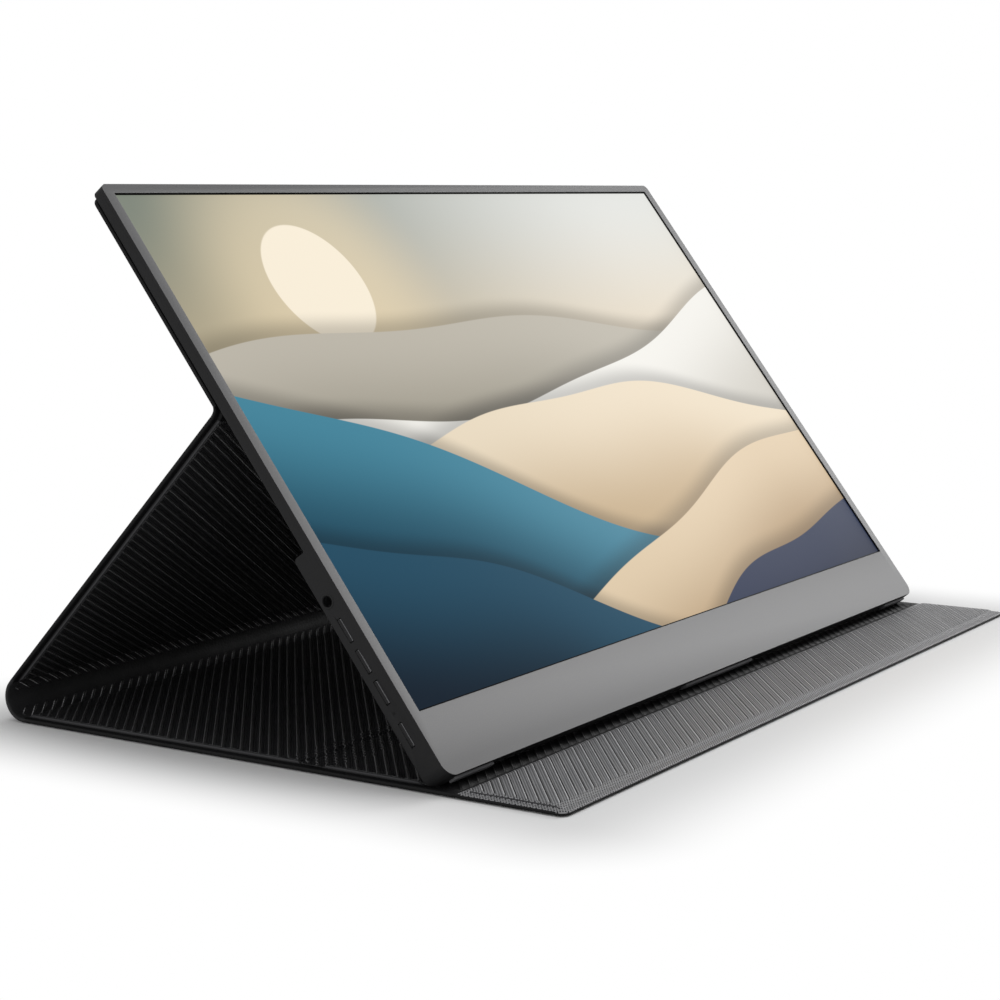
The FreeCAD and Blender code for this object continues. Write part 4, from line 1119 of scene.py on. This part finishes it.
SOUND_AT = MONITOR_PLACE.inverted() @ MOUNTS["sound_socket"] / MM
COLLAR_STEPS = 40
COLLAR = (
    # depth behind the housing's side, and radius
    (1.0, 1.82), (0.05, 1.82), (-0.12, 1.95), (-0.16, 2.15), (-0.1, 2.4), (0.05, 2.5), (1.0, 2.5),
)
collar_rings = [
    [
        (HOUSING_SIDE + depth, SOUND_AT.y + radius * math.cos(turn),
         SOUND_AT.z + radius * math.sin(turn))
        for turn in (2 * math.pi * step / COLLAR_STEPS for step in range(COLLAR_STEPS))
    ]
    for depth, radius in COLLAR
]
collar = stacked("sound_socket_collar", collar_rings, MONITOR_PLACE, HOUSING_ABS, closed=True)
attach(collar, "monitor")
refinish(
    make_core(
        "nickel_plated_steel", "#A9A7A2", "#B6B4AF", 0.5, 0.004, {"Metallic": 1.0, "Roughness": 0.3}
    ),
    "hdmi_port", "usb_c_port_1", "usb_c_port_2", "board_screws", "steel_hold_plates",
)


# Front frame
# Pressed from aluminium sheet, blasted and painted a satin grey. Its edges and the walls of
# its opening sit in the black seam of the housing.

FRAME_GREY = "#575758"
FRAME_GREY_LIGHT = "#5B5B5C"
FACE_SHARE = 0.6
BLAST_GRIT = 2.2
BLAST_DEPTH = 0.015


def make_painted_aluminium():
    """Satin paint over blasted metal: an even grey with the faintest grit."""
    made, tree, shader = new_material(
        "satin_painted_aluminium", {"Roughness": 0.46, "Specular IOR Level": 0.32}
    )
    place = attribute(tree, "flat", "Vector")
    grit = add(
        tree, "TexNoise", {"Vector": place, "Scale": BLAST_GRIT, "Detail": 5.0}
    ).outputs["Fac"]
    colours = mixed(tree, ramp(tree, grit, 0.3, 0.7), srgb(FRAME_GREY), srgb(FRAME_GREY_LIGHT))
    join(tree, colours, shader, "Base Color")
    bump(tree, shader, grit, BLAST_DEPTH)
    return made


front_frame = softened("front_frame", "front_frame_sheet", 0.25, make_painted_aluminium())
front_frame.data.materials.append(HOUSING_ABS)
for polygon in front_frame.data.polygons:
    if abs(polygon.normal.dot(FACE_WAY)) < FACE_SHARE:
        polygon.material_index = 1
dressed(front_frame, "monitor", ["front_frame"])


# Screen
# A laminated panel with a matt front, lit from behind. It shows a plain wallpaper of hills
# in cut paper, with a pale sun.

GLASS_BACK = -1.55
GLASS_FRONT = -0.65
GLASS_ROUND = 0.1
GLASS_LAP = 1.2
BLACK_MARGIN = 0.45
# Places and sizes in the picture are shares of its width or height.
SUN = (0.22, 0.80, 0.13)
SUN_EDGE = 0.002
HALO_REACH = 3.2
HALO_SHARE = 0.55
PAPER_EDGE = 0.0012
PAPER_SHADE = 0.3
PAPER_SHADOW = 0.05
SHADOW_DEPTH = 0.38
HILLS = (
    # height at the left, slope, waves: (height, count, start), upper and lower colour
    (0.64, 0.05, ((0.05, 4.3, 0.5), (0.016, 12.0, 1.0)), "#B9B3A6", "#8D8778"),
    (0.47, 0.20, ((0.06, 5.0, 2.2), (0.012, 14.0, 0.0)), "#ECEAE4", "#C9C5BC"),
    (0.50, -0.12, ((0.09, 4.4, 5.0), (0.010, 17.0, 2.0)), "#E6D7BE", "#C2A985"),
    (0.56, -0.62, ((0.05, 6.2, 1.1), (0.012, 15.0, 4.0)), "#3F8299", "#17465B"),
    (0.13, 0.10, ((0.11, 3.7, 4.2), (0.010, 16.0, 1.0)), "#DCC7A8", "#A98C68"),
    (0.30, -0.62, ((0.04, 7.4, 0.3), (0.010, 19.0, 3.0)), "#1D4A61", "#0B1C2B"),
    (-0.30, 0.47, ((0.035, 8.0, 2.6), (0.008, 21.0, 0.0)), "#2B3550", "#10131F"),
)


def make_wallpaper():
    """A dark matt front that hardly mirrors the room, lit from behind with the picture."""
    made, tree, shader = new_material(
        "lit_matt_panel",
        {"Base Color": srgb("#030303"), "Roughness": 0.5, "Specular IOR Level": 0.1,
         "Emission Strength": 1.0},
    )
    axes = add(tree, "SeparateXYZ", {0: attribute(tree, "flat", "Vector")}).outputs
    across = maths(tree, "MULTIPLY_ADD", axes[0], 1 / SCREEN_WIDTH, 0.5)
    upward = maths(tree, "MULTIPLY_ADD", axes[1], 1 / SCREEN_HEIGHT, 0.5)
    sky = mixed(tree, ramp(tree, across, 0.0, 0.9), srgb("#7B8276"), srgb("#DFE0DC"))
    colour = mixed(tree, ramp(tree, upward, 0.55, 1.0, 0.55, 0.0), sky, srgb("#E2C9A0"))
    sun_x, sun_y, sun_radius = SUN
    wide = SCREEN_WIDTH / SCREEN_HEIGHT
    side = maths(tree, "MULTIPLY_ADD", across, wide, -sun_x * wide)
    rise = maths(tree, "SUBTRACT", upward, sun_y)
    away = maths(
        tree, "SQRT", maths(tree, "MULTIPLY_ADD", side, side, maths(tree, "MULTIPLY", rise, rise))
    )
    halo = ramp(tree, away, sun_radius, sun_radius * HALO_REACH, HALO_SHARE, 0.0)
    colour = mixed(tree, halo, colour, srgb("#F0DDB8"))
    disc = ramp(tree, away, sun_radius - SUN_EDGE, sun_radius + SUN_EDGE, 1.0, 0.0)
    colour = mixed(tree, disc, colour, srgb("#F6EBD6"))
    for height, slope, waves, upper, lower in HILLS:
        ridge = maths(tree, "MULTIPLY_ADD", across, slope, height)
        for tall, count, start in waves:
            swing = maths(tree, "SINE", maths(tree, "MULTIPLY_ADD", across, count, start))
            ridge = maths(tree, "MULTIPLY_ADD", swing, tall, ridge)
        under = maths(tree, "SUBTRACT", ridge, upward)
        shade = ramp(tree, under, -PAPER_SHADOW, 0.0, 0.0, SHADOW_DEPTH)
        colour = mixed(tree, shade, colour, srgb("#000000"))
        paper = mixed(tree, ramp(tree, under, 0.0, PAPER_SHADE), srgb(upper), srgb(lower))
        colour = mixed(tree, ramp(tree, under, -PAPER_EDGE, PAPER_EDGE), colour, paper)
    for axis, size in ((0, SCREEN_WIDTH), (1, SCREEN_HEIGHT)):
        reach = maths(tree, "ABSOLUTE", axes[axis])
        lit = maths(tree, "LESS_THAN", reach, size / 2 - BLACK_MARGIN)
        colour = mixed(tree, lit, srgb("#000000"), colour)
    join(tree, colour, shader, "Emission Color")
    return made


def glass_outline(z, inset):
    """The panel's outline at one depth, inset from its edge."""
    half_x = SCREEN_WIDTH / 2 + GLASS_LAP - inset
    half_y = SCREEN_HEIGHT / 2 + GLASS_LAP - inset
    return [(x * half_x, y * half_y, z) for x, y in ((-1, -1), (1, -1), (1, 1), (-1, 1))]


glass_rings = [
    glass_outline(z, inset)
    for z, inset in ((GLASS_BACK, 0), (GLASS_FRONT - GLASS_ROUND, 0), (GLASS_FRONT, GLASS_ROUND))
]
screen = stacked("screen_panel", glass_rings, MONITOR_PLACE, make_wallpaper())
dressed(screen, "monitor", ["lcd_panel"])


# Parts inside the monitor
# Behind the panel lie its films, light guide and tray, and in the thick lower part the boards,
# battery and speakers. They are covered, and each has the finish of its kind.

refinish(
    make_core("cast_acrylic", "#D9DBDC", "#E2E4E5", 2.0, 0.004, {"Roughness": 0.12}),
    "light_guide", "diffuser_films",
)
refinish(
    make_core(
        "smoked_acrylic", "#060607", "#0A0A0B", 0.3, 0.004,
        {"Roughness": 0.5, "Specular IOR Level": 0.15},
    ),
    "led_light_pipe",
)
refinish(
    make_core("lamp_phosphor", "#D8D39A", "#E4DFA8", 0.4, 0.01, {"Roughness": 0.5}),
    "backlight_led_bar",
)
refinish(
    make_core(
        "pressed_aluminium", "#9C9D9F", "#A6A7A9", 1.2, 0.006, {"Metallic": 1.0, "Roughness": 0.38}
    ),
    "backlight_tray",
)
refinish(
    make_core("green_solder_mask", "#0E3B22", "#12472A", 0.9, 0.02, {"Roughness": 0.35}),
    "main_board", "button_board", "panel_driver_board",
)
refinish(
    make_core("black_nylon", "#19191A", "#202021", 0.4, 0.02, {"Roughness": 0.55}),
    "audio_jack", "button_switches", "board_chips", "left_speaker", "right_speaker",
)
refinish(
    make_core("polyimide_film", "#8A4F16", "#975A1E", 1.5, 0.004, {"Roughness": 0.3}),
    "panel_flexes", "panel_cable",
)
refinish(
    make_core("foil_sleeve", "#2B2C2F", "#34353A", 3.0, 0.02, {"Roughness": 0.42}),
    "battery_pack",
)
